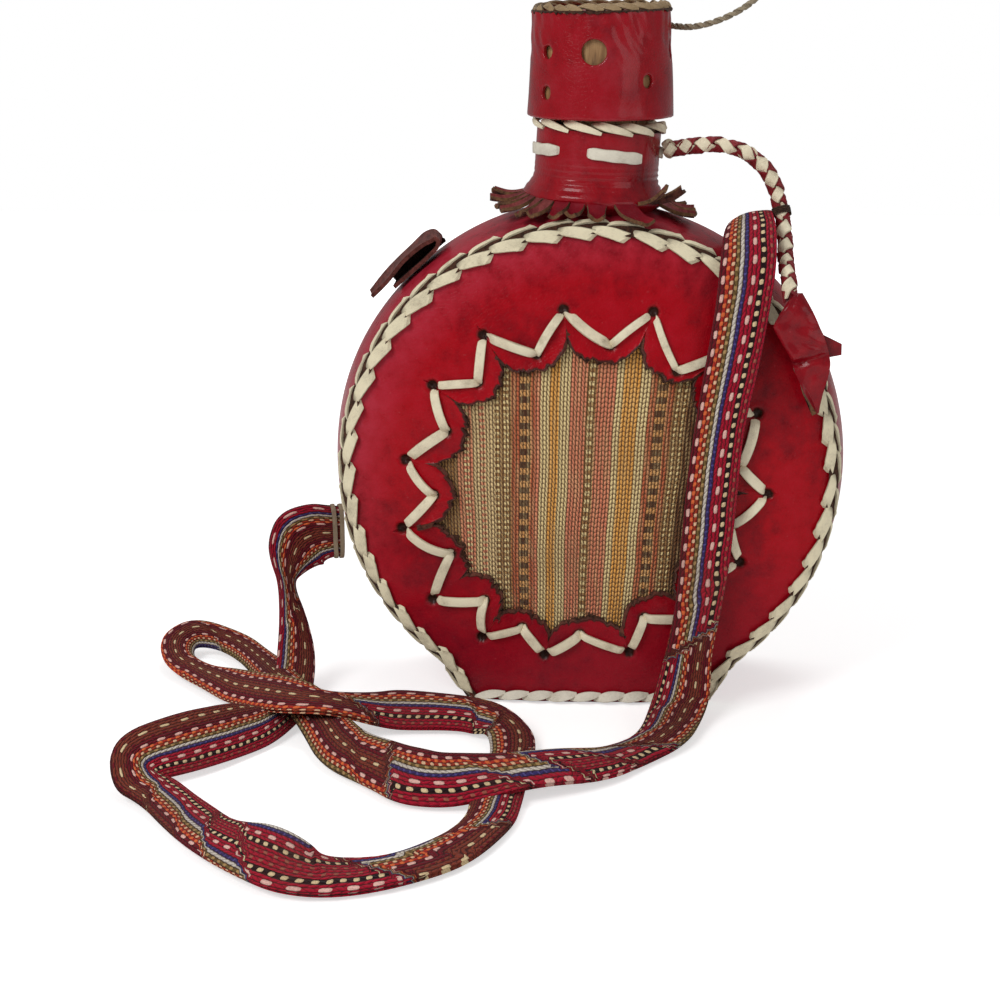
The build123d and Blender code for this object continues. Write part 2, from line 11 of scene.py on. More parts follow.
import bpy
import numpy as np
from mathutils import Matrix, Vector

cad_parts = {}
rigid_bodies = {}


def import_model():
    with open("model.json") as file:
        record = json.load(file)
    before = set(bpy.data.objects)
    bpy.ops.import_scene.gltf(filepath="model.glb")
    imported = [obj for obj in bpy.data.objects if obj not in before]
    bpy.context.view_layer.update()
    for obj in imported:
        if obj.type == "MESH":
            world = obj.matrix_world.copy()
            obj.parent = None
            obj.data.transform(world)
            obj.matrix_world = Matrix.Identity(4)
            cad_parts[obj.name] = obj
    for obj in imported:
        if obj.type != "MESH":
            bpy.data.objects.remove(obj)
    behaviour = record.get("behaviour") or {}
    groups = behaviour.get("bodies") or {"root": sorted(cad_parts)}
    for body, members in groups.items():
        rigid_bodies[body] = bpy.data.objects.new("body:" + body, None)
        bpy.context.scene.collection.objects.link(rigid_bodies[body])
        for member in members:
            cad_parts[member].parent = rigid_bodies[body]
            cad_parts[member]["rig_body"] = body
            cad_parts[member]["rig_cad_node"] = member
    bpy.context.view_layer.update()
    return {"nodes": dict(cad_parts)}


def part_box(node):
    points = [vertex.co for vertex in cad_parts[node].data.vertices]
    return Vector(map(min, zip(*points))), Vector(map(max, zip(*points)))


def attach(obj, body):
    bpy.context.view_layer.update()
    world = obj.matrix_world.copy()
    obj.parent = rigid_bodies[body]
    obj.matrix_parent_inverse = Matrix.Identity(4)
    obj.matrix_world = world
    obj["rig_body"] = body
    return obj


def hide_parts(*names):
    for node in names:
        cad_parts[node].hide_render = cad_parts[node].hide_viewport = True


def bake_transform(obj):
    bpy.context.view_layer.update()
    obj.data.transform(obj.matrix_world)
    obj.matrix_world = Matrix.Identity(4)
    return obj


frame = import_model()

MM = 0.001
print("solids in the frame:", len(frame["nodes"]))

# %% [markdown]
# ## Camera, light and floor
# The camera stands where the photographer stood, a little above the bottle and looking down on it. The light
# is soft and comes from large lamps, so that glossy leather shows broad pale patches and no hard spots. The
# floor and the world are plain white to the camera, but light the bottle only weakly.
# %% Camera
bpy.ops.object.camera_add(location=(0, -0.752, 0.253), rotation=(radians(75.8), 0, radians(2.3)))
camera = bpy.context.object
camera.name = "camera"
camera.data.sensor_width = 36
camera.data.lens = 81.72
bpy.context.scene.camera = camera
bpy.context.scene.view_settings.view_transform = "Standard"

print("camera lens in mm:", round(camera.data.lens, 1))


# %% Helpers for nodes
class Wire:
    """What comes out of a node. Reckoning with it adds a Math node for each sum."""

    def __init__(self, socket):
        self.socket = socket

    def __add__(self, other):
        return calc("ADD", self, other)

    def __sub__(self, other):
        return calc("SUBTRACT", self, other)

    def __mul__(self, other):
        return calc("MULTIPLY", self, other)

    def __truediv__(self, other):
        return calc("DIVIDE", self, other)

    def __mod__(self, other):
        return calc("MODULO", self, other)

    def __pow__(self, other):
        return calc("POWER", self, other)

    def __gt__(self, other):
        return calc("GREATER_THAN", self, other)

    def __lt__(self, other):
        return calc("LESS_THAN", self, other)

    def __abs__(self):
        return calc("ABSOLUTE", self)


def put(socket, value):
    """Gives a node's socket a wire, a colour or a plain value."""
    if isinstance(value, Wire):
        tree.links.new(value.socket, socket)
    elif isinstance(value, tuple) and len(value) == 3 and socket.type == "RGBA":
        socket.default_value = (*value, 1)
    else:
        socket.default_value = value


def node(kind, output, inputs=None, **settings):
    """Adds a node to the tree in hand, with its settings and inputs, and gives one of its outputs."""
    made = tree.nodes.new("ShaderNode" + kind)
    for key, value in settings.items():
        setattr(made, key, value)
    for key, value in (inputs or {}).items():
        put(made.inputs[key], value)
    return Wire(made.outputs[output])


def calc(operation, *values):
    """One sum of a Math node."""
    return node("Math", 0, dict(enumerate(values)), operation=operation)


def mix(factor, first, second):
    """One colour over another."""
    return node("Mix", 2, {0: factor, 6: first, 7: second}, data_type="RGBA")


def ramp(factor, *stops, interpolation="LINEAR"):
    """Colours or greys along a scale from 0 to 1."""
    made = node("ValToRGB", 0, {0: factor})
    scale = made.socket.node.color_ramp
    scale.interpolation = interpolation
    for n, (place, colour) in enumerate(stops):
        stop = scale.elements[n] if n < 2 else scale.elements.new(place)
        stop.position = place
        stop.color = (*colour, 1) if isinstance(colour, tuple) else (colour, colour, colour, 1)
    return made


def coords(kind="Object"):
    """Where a point is: on its object in metres, or on its map."""
    return node("TexCoord", kind)


def part(where, number):
    """One of the three numbers of a place."""
    return node("SeparateXYZ", number, {0: where})


def kept(name):
    """A number that is kept on the mesh."""
    return node("Attribute", "Fac", attribute_name=name)


def noise(where, scale, detail=3.0, rough=0.5):
    """Cloudy noise; scale is in patches to the unit of the coordinates."""
    return node("TexNoise", 0, {"Vector": where, "Scale": scale, "Detail": detail, "Roughness": rough})


def stretched(where, scale, turn=(0, 0, 0)):
    """The same coordinates, stretched or turned."""
    return node("Mapping", 0, {"Vector": where, "Scale": scale, "Rotation": turn})


def paint(**sockets):
    """Gives the shader in hand its values or wires."""
    for socket, value in sockets.items():
        put(tree.nodes["Principled BSDF"].inputs[socket.replace("_", " ")], value)


def relief(height, depth, strength=1.0, **under):
    """Raises the surface by a height from 0 to 1, depth millimetres high at most."""
    made = node("Bump", 0, {"Height": height, "Distance": depth * MM, "Strength": strength, **under})
    paint(Normal=made)
    return made


def finish(name, **sockets):
    """Starts a material: its tree is then the one in hand, and its shader gets its plain values."""
    global tree
    made = bpy.data.materials.new(name)
    made.use_nodes = True
    tree = made.node_tree
    paint(**sockets)
    return made


def ray(kind):
    """1 for light rays of one kind, else 0."""
    return node("LightPath", f"Is {kind} Ray")


print("node helpers ready")

# %% World and lamps
world = bpy.data.worlds.new("studio")
bpy.context.scene.world = world
world.use_nodes = True
tree = world.node_tree
shown = calc("MAXIMUM", calc("MAXIMUM", ray("Camera"), ray("Transmission")), ray("Glossy") * 0.16)
put(tree.nodes["Background"].inputs["Strength"], calc("MAXIMUM", shown, 0.27))
put(tree.nodes["Background"].inputs["Color"], (1, 1, 1))
LIT_POINT = np.array([0, 0, 0.1])


def soft_lamp(name, place, size, power):
    """A square lamp at a place, turned towards the bottle."""
    bpy.ops.object.light_add(type="AREA", location=place)
    lamp = bpy.context.object
    lamp.name = name
    lamp.data.size = size
    lamp.data.energy = power
    away = np.array(place) - LIT_POINT
    lamp.rotation_euler = (atan2(hypot(away[0], away[1]), away[2]), 0, atan2(away[0], -away[1]))
    print(name, "watts:", power)


soft_lamp("key_lamp", (-0.75, -0.95, 1.0), 0.7, 10.5)
soft_lamp("fill_lamp", (0.95, -0.8, 0.55), 0.8, 2.2)
soft_lamp("top_lamp", (0.1, 0.5, 1.2), 0.6, 4)

# %% Floor
bpy.ops.mesh.primitive_plane_add(size=2.6, location=(0, 0, -0.0003))
floor = bpy.context.object
floor.name = "floor"
floor.data.materials.append(finish("white_paper", Base_Color=(0.86, 0.86, 0.86), Roughness=0.9))
seen = calc("MAXIMUM", ray("Glossy") * 0.12 + ray("Camera"), ray("Transmission"))
far = node("VectorMath", "Value", {0: coords()}, operation="LENGTH")
glow = ramp(far, (0.25, 0.0), (0.95, 1.0)) * 0.5 + 0.56
paint(Emission_Color=(1, 1, 1), Emission_Strength=seen * glow)
print("floor laid")

# %% [markdown]
# ## From a flat grid to any sheet or strip
# Nearly everything here is cut from thin leather or woven yarn, so one way of working serves for all: a flat
# grid is added, its vertices are moved in code to where the real sheet lies, and modifiers give it its
# thickness. A long strip is the same grid rolled up into a flat tube. One strip is modelled and copied.
# %% Helpers for sheets and strips
def only(piece):
    """Selects one piece and makes it active."""
    bpy.ops.object.select_all(action="DESELECT")
    piece.select_set(True)
    bpy.context.view_layer.objects.active = piece


def flat_grid(name, across, along):
    """A flat grid of cells, with the place of each vertex on it as two numbers from 0 to 1."""
    bpy.ops.object.select_all(action="DESELECT")
    bpy.ops.mesh.primitive_grid_add(x_subdivisions=across, y_subdivisions=along, size=1)
    piece = bpy.context.object
    piece.name = piece.data.name = name
    flat = points_of(piece) + 0.5
    return piece, flat[:, 0], flat[:, 1]


def points_of(piece):
    """A mesh's vertices, in metres."""
    places = np.empty(3 * len(piece.data.vertices), np.float32)
    piece.data.vertices.foreach_get("co", places)
    return places.reshape(-1, 3)


def move_points(piece, places):
    """Puts a mesh's vertices at new places, given in millimetres."""
    piece.data.vertices.foreach_set("co", (np.asarray(places) * MM).astype(np.float32).ravel())
    piece.data.update()


def lay_map(piece, across, along):
    """Writes the piece's UV map from two numbers to each vertex."""
    corners = np.empty(len(piece.data.loops), np.int32)
    piece.data.loops.foreach_get("vertex_index", corners)
    values = np.stack([np.asarray(across)[corners], np.asarray(along)[corners]], 1)
    piece.data.uv_layers[0].data.foreach_set("uv", values.astype(np.float32).ravel())


def mark(piece, name, values):
    """Keeps one number to each vertex, for the material to read."""
    made = piece.data.attributes.new(name, "FLOAT", "POINT")
    made.data.foreach_set("value", np.asarray(values, np.float32))

# %% Helpers for edit mode and modifiers
def edit(piece, *steps):
    """Takes one piece into edit mode and does the steps there, each with everything selected."""
    only(piece)
    bpy.ops.object.mode_set(mode="EDIT")
    for step in steps:
        bpy.ops.mesh.select_all(action="SELECT")
        step()
    bpy.ops.object.mode_set(mode="OBJECT")


def merge(threshold=0.002):
    bpy.ops.mesh.remove_doubles(threshold=threshold * MM)


def close_up(piece, fill=True):
    """Joins the seam of a rolled mesh, closes its ends and turns its faces outwards."""
    ends = [lambda: bpy.ops.mesh.fill_holes(sides=200)] if fill else []
    edit(piece, merge, *ends, lambda: bpy.ops.mesh.normals_make_consistent(inside=False))
    bpy.ops.object.shade_smooth()


def face_out(piece, outward):
    """Turns a sheet's faces outwards: to one direction, or to the one that a function gives at each face."""
    centres, normals = np.empty((2, 3 * len(piece.data.polygons)), np.float32)
    piece.data.polygons.foreach_get("center", centres)
    piece.data.polygons.foreach_get("normal", normals)
    way = outward(centres.reshape(-1, 3) / MM) if callable(outward) else np.array(outward)
    if (normals.reshape(-1, 3) * way).sum() < 0:
        edit(piece, bpy.ops.mesh.flip_normals)


def modify(piece, kind, **settings):
    """Adds a modifier to a piece and applies it."""
    only(piece)
    made = piece.modifiers.new(kind.lower(), kind)
    for key, value in settings.items():
        setattr(made, key, value)
    bpy.ops.object.modifier_apply(modifier=made.name)


def thicken(piece, thickness, finishes, rim=None):
    """Gives a sheet its materials and, inwards, its thickness. The second material is for the inner face, and
    the last one for the cut edges, unless rim is the number of another."""
    for each in finishes:
        piece.data.materials.append(each)
    last = len(finishes) - 1
    modify(piece, "SOLIDIFY", thickness=thickness * MM, offset=-1, material_offset=min(1, last),
           material_offset_rim=last if rim is None else rim)
    bpy.ops.object.shade_smooth_by_angle(angle=radians(50))


def join_up(name, parts):
    """Joins parts into one piece."""
    bpy.ops.object.select_all(action="DESELECT")
    for part in parts:
        part.select_set(True)
    bpy.context.view_layer.objects.active = parts[0]
    if len(parts) > 1:
        bpy.ops.object.join()
    parts[0].name = parts[0].data.name = name
    return parts[0]

# %% Labels for the pieces
def dress(piece, slot, *nodes, body="vessel"):
    """Gives a piece its body and hides the solids that it stands for. Its slot is not used."""
    if body:
        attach(piece, body)
    if nodes:
        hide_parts(*nodes)
    print(piece.name, "faces:", len(piece.data.polygons))
    return piece


def sheet(piece, outward, thickness, finishes, slot, *nodes, body="vessel"):
    """Makes a grid that lies in its place into a finished sheet."""
    close_up(piece, fill=False)
    face_out(piece, outward)
    thicken(piece, thickness, finishes)
    return dress(piece, slot, *nodes, body=body)


# %% Small sums
def unit(vectors):
    """The same directions, each 1 long."""
    return vectors / np.maximum(np.linalg.norm(vectors, axis=-1, keepdims=True), 1e-9)


def columns(*numbers):
    """One row to each point, such as its X, Y and Z."""
    return np.stack(np.broadcast_arrays(*numbers), -1)


def cells(share, count):
    """The number of the grid line that each vertex is on."""
    return np.rint(share * count).astype(int)


def length_along(line):
    """How far each point is along a line."""
    return np.concatenate([[0], np.cumsum(np.linalg.norm(np.diff(line, axis=0), axis=1))])


def hump(share):
    """Rises from 0 to 1 and falls back to 0."""
    return np.sin(pi * share)


def squared(wave, power):
    """A sine or cosine with flatter tops, for rounded boxes."""
    return np.sign(wave) * np.abs(wave) ** power


def smooth_step(low, high, value):
    share = np.clip((value - low) / (high - low), 0, 1)
    return share * share * (3 - 2 * share)

# %% Strips
def strips(name, runs, look, slot, *nodes, around=8, body="vessel"):
    """Flat strips with rounded edges. Each run gives its line, the way its face looks, its width and its
    thickness, and how far it slants. The lines all have the same number of points."""
    along = len(runs[0][0]) - 1
    model, u, v = flat_grid(name, around, along)
    place = cells(v, along)
    turn = 2 * pi * (cells(u, around) % around) / around
    wide, tall = squared(np.cos(turn), 0.3) / 2, squared(np.sin(turn), 0.6) / 2
    made = []
    for n, (line, up, width, thick, *skew) in enumerate(runs):
        forward = unit(np.gradient(line, axis=0))
        side = unit(np.cross(forward, np.broadcast_to(up, line.shape)))
        up = unit(np.cross(side, forward))
        width, thick = (np.broadcast_to(size, len(line))[place][:, None] for size in (width, thick))
        shift = wide[:, None] * width
        body_points = line[place] + side[place] * shift + up[place] * tall[:, None] * thick
        body_points = body_points + forward[place] * shift * (skew[0] if skew else 0.0)
        body_points[:, 2] = np.maximum(body_points[:, 2], 0.1)
        strip = model.copy()
        strip.data = model.data.copy()
        bpy.context.collection.objects.link(strip)
        move_points(strip, body_points)
        length = length_along(line)[place]
        lay_map(strip, wide + 0.5, length * 0.1 + n * 0.37)
        mark(strip, "begin", length)
        made.append(strip)
    bpy.data.objects.remove(model)
    piece = join_up(name, made)
    close_up(piece)
    bpy.ops.object.shade_smooth_by_angle(angle=radians(42))
    piece.data.materials.append(look)
    return dress(piece, slot, *nodes, body=body)


# %% Smooth lines
def eased(keys, stations):
    """Values that run smoothly through the keys, read at the given stations."""
    keys = np.asarray(keys, float)
    spots = np.linspace(0, len(keys) - 1, len(keys))
    stations = np.asarray(stations) * (len(keys) - 1)
    fine = np.linspace(0, len(keys) - 1, 40 * len(keys))
    columns = []
    for column in keys.reshape(len(keys), -1).T:
        coarse = np.interp(fine, spots, column)
        window = np.hanning(41)
        padded = np.pad(coarse, 20, mode="reflect", reflect_type="odd")
        columns.append(np.interp(stations, fine, np.convolve(padded, window / window.sum(), "valid")))
    return np.stack(columns, 1)


def spline_line(route, steps=8):
    """The points that Blender reads from a NURBS spline through the air along a route."""
    curve = bpy.data.curves.new("line", "CURVE")
    curve.dimensions = "3D"
    curve.resolution_u = steps
    spline = curve.splines.new("NURBS")
    spline.points.add(len(route) - 1)
    for point, place in zip(spline.points, np.array(route) * MM):
        point.co = (*place, 1)
    spline.order_u = 3
    spline.use_endpoint_u = True
    holder = bpy.data.objects.new("line", curve)
    bpy.context.collection.objects.link(holder)
    bpy.context.view_layer.update()
    read = bpy.data.meshes.new_from_object(holder)
    line = np.array([vertex.co for vertex in read.vertices]) / MM
    bpy.data.objects.remove(holder)
    bpy.data.meshes.remove(read)
    return line


FRONT, BACK, UP = (0, -1, 0), (0, 1, 0), (0, 0, 1)
hand = np.random.default_rng(11)
print("helpers ready")

# %% [markdown]
# ## The woven strap
# The shoulder strap is a warp-faced band about 40 mm wide, folded along its middle, so that two layers
# lie on each other. Its stripes mirror about the fold. The pattern reads the piece's own map: across, it
# counts millimetres from the middle of the band, and along, millimetres of its length. Short floats of
# yarn stand up in columns, and dashes, ladders and zigzags are switched on inside their own stripes.
# %% Woven band finish
def weave(across, along, yarn, float_length, slant):
    """Height of warp yarns in columns, each broken into floats that are staggered and lean in pairs."""
    column = across / yarn + 0.5
    odd = calc("FLOOR", column) % 2.0
    lean = calc("FRACT", column) * (odd * (-2 * slant) + slant)
    row = along * (1 / float_length) + lean + odd * 0.5
    ridge, knuckle = (abs(calc("SINE", count * pi)) for count in (column, row))
    return ridge * (knuckle * 0.8 + 0.2)


DASH_LEAN = 0.3


def dash(across, along, middle, half, period, share, start):
    """Height of one row of plump slanted dashes: 1 at the middle of each, 0 or less outside them."""
    slid = across * (DASH_LEAN / period) + (start - DASH_LEAN * middle / period)
    ahead = abs(calc("FRACT", along * (1 / period) + slid) * (2 / share) + -1.0)
    beside = abs(across * (1 / half) + -middle / half)
    return calc("SUBTRACT", 1.0, ahead**4.0 + beside**2.5)


CREAM = (0.86, 0.66, 0.38)
BLUSH = (0.92, 0.55, 0.47)
RUST = (0.27, 0.050, 0.028)
MAROON = (0.19, 0.008, 0.018)
RUBY = (0.50, 0.008, 0.034)
INK = (0.012, 0.006, 0.008)
YARN = 1.25
FOLD_AT = 16 * YARN

band_finish = finish("woven_band", Roughness=0.9, Sheen_Weight=0.04, Specular_IOR_Level=0.15)
drift = (noise(coords(), 120, 2) - 0.5) * 0.8
across = calc("PINGPONG", part(coords("UV"), 0) + drift, FOLD_AT)
along = part(coords("UV"), 1)
colour = ramp(
    across / FOLD_AT,
    (0.0, RUST), (0.156, MAROON), (0.281, (0.58, 0.035, 0.020)), (0.344, (0.46, 0.050, 0.020)),
    (0.406, (0.20, 0.13, 0.040)), (0.469, (0.82, 0.74, 0.64)), (0.531, (0.045, 0.036, 0.16)),
    (0.594, RUBY), (0.765, INK), (0.862, RUBY),
    interpolation="CONSTANT",
)
# Rows of dashes: how far from the fold, half width, period, share and start of each dash, and its colour
marks = [
    (0.0, 0.54, 6.8, 0.42, 0.0, CREAM), (5.0, 0.58, 5.8, 0.46, 0.5, BLUSH), (2.5, 0.42, 3.4, 0.4, 0.2, MAROON),
    (6.25, 0.6, 2.9, 0.5, 0.1, (0.84, 0.17, 0.05)), (7.5, 0.55, 2.9, 0.44, 0.6, (0.90, 0.56, 0.34)),
    (8.75, 0.52, 2.9, 0.46, 0.1, (0.48, 0.30, 0.12)), (11.25, 0.48, 2.2, 0.3, 0.0, (0.10, 0.09, 0.30)),
    (13.75, 0.64, 6.2, 0.46, 0.2, BLUSH), (16.25, 0.66, 3.3, 0.5, 0.0, CREAM),
    (18.75, 0.45, 3.3, 0.4, 0.5, (0.42, 0.12, 0.08)),
]
height = weave(across, along, YARN, 2.1, 0.8)
# Painted shade: the low gaps between the floats turn nearly black
colour = mix(ramp(height, (0.08, 0.92), (0.40, 0.0)), colour, (0.035, 0.008, 0.008))
for *shape, tint in marks:
    bump = dash(across, along, *shape)
    colour = mix(bump > 0.0, colour, tint)
    height = calc("MAXIMUM", height, calc("MAXIMUM", bump, 0.0) ** 0.4)
fluff = noise(coords(), 1900, 3, 0.6)
colour = mix(ramp(fluff, (0.35, 0.30), (0.60, 0.0)), colour, (0.05, 0.012, 0.012))
soil = ramp(noise(coords(), 45, 4), (0.45, 0.0), (0.78, 0.3))
paint(Base_Color=mix(soil, colour, (0.13, 0.05, 0.035)))
relief(fluff * 0.15 + height, 0.55)
print("rows of dashes:", len(marks))

# %% [markdown]
# The strap's route is a row of stations: a point, the direction across the band there and the
# width that shows. Blender reads one smooth NURBS line for the middle and one for each edge, and the band is
# a rolled grid between them. A second table says which stripes lie at the two edges of each stretch,
# because the fold isn't always at the same edge: the strap turns over as it goes.
# %% Strap stations
strap_route = [
    (53.0, 1, 155.5, -1, 0, -0.30, 11), (52.6, -4, 159.5, -1, 0, -0.28, 13),
    (51.8, -10.5, 160.6, -1, 0, -0.26, 14.5), (51.0, -23.5, 157.6, -1, -0.05, -0.2, 16.5),
    (50, -33, 149.5, -1, -0.15, 0, 17.5), (48.5, -36, 136.3, -1, -0.05, 0, 16.5),
    (46, -37.5, 120.4, -1, 0, 0, 16.5), (42, -38, 99.4, -1, 0, 0, 15), (40, -38.5, 79.7, -1, 0, 0, 16),
    (38.5, -38.5, 57.9, -1, 0, 0, 16), (36.5, -38.5, 37.5, -1, 0, 0, 14.5),
    (33.5, -38.5, 21.7, -1, 0.05, 0, 14), (32, -41, 9, -1, 0.1, -0.05, 17.5),
    (29.5, -49.5, 4.4, -0.95, 0.25, 0.1, 17), (24.5, -70, 2.4, -0.85, 0.5, 0, 16),
    (13, -84, 1.9, -0.4, 0.9, 0, 15), (2, -99.5, 4.9, -0.2, 0.95, 0.2, 17),
    (-16, -111, 7.5, -0.05, 1, 0.15, 17), (-34.5, -118, 7, -0.05, 0.9, 0.4, 19),
    (-43, -120.5, 7, -0.05, 0.85, 0.55, 19), (-52, -120, 8, -0.02, 0.8, 0.6, 18.5),
    (-61, -108, 6.8, 0, 0.93, 0.36, 16.5), (-75.5, -91, 5.4, 0.3, 0.9, 0.3, 17),
    (-84, -67.5, 5.5, 0.5, 0.85, 0.1, 15), (-93.5, -49.5, 6.9, 0.6, 0.8, 0, 14),
    (-104, -28.5, 7.2, 0.65, 0.75, 0.2, 12), (-115.5, 0, 5, 0.45, 0.9, 0.2, 10),
    (-126, 18.5, 4.5, 0.05, 0.95, 0.25, 11), (-140, 22, 7.4, -0.45, 0.68, 0.58, 13),
    (-145.5, 12, 6, -0.85, 0.25, 0.45, 12.5), (-143, 0, 4, -0.9, -0.4, 0.15, 12),
    (-135, -11, 3.2, -0.6, -0.8, 0, 12), (-126, -22.5, 4.8, -0.25, -0.95, -0.2, 12),
    (-115.5, -37, 6.5, -0.2, -0.9, -0.35, 13.5), (-104, -50.5, 9.8, -0.15, -0.95, -0.35, 15.5),
    (-92.5, -65, 12.8, -0.1, -0.95, -0.2, 16.5), (-83.5, -65, 11.5, 0, -1, 0, 16),
    (-68, -58, 6.5, 0.15, -0.95, -0.25, 16), (-59.5, -54.5, 5.7, 0.1, -0.9, -0.4, 18),
    (-39.5, -53.5, 4.5, 0, -0.95, -0.3, 17), (-31, -59.5, 4.4, -0.2, -0.95, -0.3, 16),
    (-24, -66.5, 3.1, -0.45, -0.9, 0, 15), (-22.5, -84.5, 1.9, -0.9, -0.45, 0, 13.5),
    (-24.5, -104.5, 1.9, -0.95, -0.3, 0, 13.5), (-26.5, -125, 1.9, -1, -0.05, 0, 15),
    (-27.5, -141, 1.9, -1, 0.2, 0, 13.5), (-38.5, -164, 2, -0.4, 0.9, 0, 17),
    (-53, -177.5, 2.4, -0.2, 1, 0.05, 17), (-69.5, -184, 3, -0.1, 1, 0.1, 18),
    (-78.5, -184.5, 6.1, -0.05, 0.9, 0.45, 19), (-89, -178.5, 8.2, -0.05, 0.9, 0.45, 17.5),
    (-103.5, -161, 4.8, 0, 1, 0.1, 15.5), (-112.5, -146, 3, 0.35, 0.95, 0.1, 15),
    (-125.5, -124, 2.4, 0.67, 0.74, 0, 15.5), (-133.5, -117, 3.6, 0.9, 0.4, -0.15, 19),
    (-137, -109, 8, 0.9, -0.05, -0.43, 19), (-122, -97, 9.6, 0.66, -0.2, -0.72, 19),
    (-111.5, -82, 7.8, 0.6, -0.35, -0.72, 18), (-104.5, -70, 6.2, 0.72, -0.35, -0.6, 17),
    (-99.5, -52, 2.8, 0.97, -0.2, -0.05, 14), (-98.5, -32, 2.4, 1, 0, 0, 13),
    (-99, -16.5, 12, 0.96, 0.2, -0.17, 13), (-100.5, -12.5, 23, 0.86, 0.43, -0.28, 9.5),
    (-103.5, -7.5, 34.2, 0.7, 0.6, -0.4, 5), (-103, -5.5, 39.1, 0.85, 0.4, -0.35, 12),
    (-101.5, -3, 43.8, 0.8, 0.3, -0.55, 19.5), (-98.5, -1.8, 48.6, 0.69, 0.22, -0.69, 24),
    (-93.5, -0.5, 50.6, 0.5, 0.16, -0.85, 21), (-88.5, 0.6, 50.8, 0.2, 0.09, -0.97, 17.6),
    (-84, 1.2, 50.8, 0.08, 0.05, -1, 17),
]
# The last station of each stretch, and how far from the band's middle the stripes at its two edges are
strap_stripes = [
    (9, 4, 20), (10, 3, 19), (12, -19, 7), (13, -17, 8), (14, -14, 9), (15, 7, 18), (16, 10, 26),
    (17, 3, 14), (20, 3, 20), (21, -10, 7), (27, -9, 9), (30, -6, 11), (36, -7, 9), (39, 20, 3),
    (40, 16, 0), (42, -10, 5), (45, 0, 20), (46, 12, -3), (47, 14, 0), (48, 28, 13), (50, 30, 13),
    (51, 26, 8), (52, 20, 4), (53, 20, 2), (59, 20, -3), (62, -5, 14), (69, -15, 15),
]
print("stations:", len(strap_route))

# %% Strap mesh
stations = np.array(strap_route, float)
middle, across, half = stations[:, :3], stations[:, 3:6], stations[:, 6:] / 2
neighbours = np.pad(middle, ((1, 1), (0, 0)), mode="edge")
run = unit(neighbours[2:] - neighbours[:-2])
across = unit(across - run * (across * run).sum(1)[:, None])
middle_line, a_line, b_line = map(spline_line, (middle, middle + across * half, middle - across * half))
rows = len(middle_line)
stretches = np.array(strap_stripes, float)
station_at = np.clip(np.linspace(0, len(strap_route) - 1, rows), 0, stretches[-1, 0] + 0.4)
stripes = stretches[np.searchsorted(stretches[:, 0] + 0.5, station_at), 1:]
flat = np.linspace(0, 1, 13)
top = columns(flat, 1 - 0.25 * (2 * flat - 1) ** 8)
# The band's section: how far across each corner is, from 0 to 1, and its height in half thicknesses
section = np.concatenate([top, [(1.02, 0.5), (0.975, 0.0), (1.015, -0.5)], top[::-1] * (1, -1),
                          [(-0.015, -0.5), (0.025, 0.0), (-0.02, 0.5)]])
HALF_THICK = 1.15
strap, u, v = flat_grid("woven_strap", len(section), rows - 1)
share, level = section[cells(u, len(section)) % len(section)].T
row = cells(v, rows - 1)
width = a_line - b_line
normal = unit(np.cross(width, unit(np.gradient(middle_line, axis=0))))
length_at = length_along(middle_line)
shown_width = np.linalg.norm(width, axis=1)
camber = 0.22 * np.sqrt(np.maximum(shown_width * np.maximum(20.5 - shown_width, 0), 0))
ripple = 0.35 * np.sin(length_at / 7.3) * np.sin(length_at / 19.0 + 1)
bulge = camber[row] * 0.55 * hump(np.clip(share, 0, 1)) + ripple[row] * (2 * share - 1) ** 3
bulge = np.where(level > 0.3, bulge, bulge * 0.6)
places = b_line[row] + width[row] * (1 - share)[:, None] + normal[row] * (bulge + level * HALF_THICK)[:, None]
places[:, 2] = np.maximum(places[:, 2], 0.15)
move_points(strap, places)
# The pattern changes along a slant across the band, as where it is folded over
slanted = row + 8 * (share - 0.5)
first_stripe, last_stripe = (np.interp(slanted, np.arange(rows), edge) for edge in stripes.T)
lay_map(strap, first_stripe + (last_stripe - first_stripe) * share, length_at[row])
close_up(strap)
strap.data.materials.append(band_finish)
dress(strap, "woven_strap", "shoulder_strap")
middle_line[0] * MM
middle_line * MM
print("strap length in metres:", round(length_at[-1] * MM, 3))

# %% [markdown]
# ## Rawhide and leather
# Rawhide lace is pale and stiff, with a dirty grey-green tone in its grain and along its edges, where painted shade
# is added to the dirt.
# The leather is dyed crimson and polished: it has a fine pebbled grain, darker clouds, long scratches and
# pale scuffs where it was rubbed, and its cut edges and flesh side are brown and fuzzy. Its colour also holds
# painted light: pale patches of painted sheen, a painted reflection along the face's upper left rim, and
# painted shade towards the bottom.
# %% Rawhide finish
def rawhide_finish(name, clean, dirty, edge, shadow=0.0):
    """Pale lace: the map's first number runs across it, so that dirt and painted shade gather at its edges.
    With a shadow, painted shade also darkens so many millimetres from where each stitch starts, under the stitch
    before it."""
    made = finish(name, Roughness=0.55, Specular_IOR_Level=0.4)
    fibre = noise(stretched(coords("UV"), (14, 1.6, 1)), 5, 5, 0.65)
    patch = noise(coords(), 160, 4, 0.6)
    greyed = tuple(0.65 * a + 0.35 * b for a, b in zip(clean, dirty))
    bleached = tuple(min(1.0, 1.12 * a) for a in clean)
    tone = ramp(fibre * 0.5 + patch * 0.5, (0.30, dirty), (0.40, greyed), (0.50, clean), (0.70, bleached))
    off = abs(part(coords("UV"), 0) - 0.5)
    # Dirt and painted shade darken the lace along its edges
    tone = mix(ramp(off + (patch - 0.5) * 0.25, (0.42, 0.0), (0.52, edge)), tone, dirty)
    if shadow:
        # Painted shade where each stitch comes out from under the one before
        begin = kept("begin") / (2 * shadow) + (patch - 0.5) * 0.5
        tone = mix(ramp(begin, (0.12, 0.85), (0.55, 0.0)), tone, tuple(0.6 * a for a in dirty))
    paint(Base_Color=tone)
    relief(fibre + noise(coords(), 1500, 3), 0.25, 0.6)
    return made


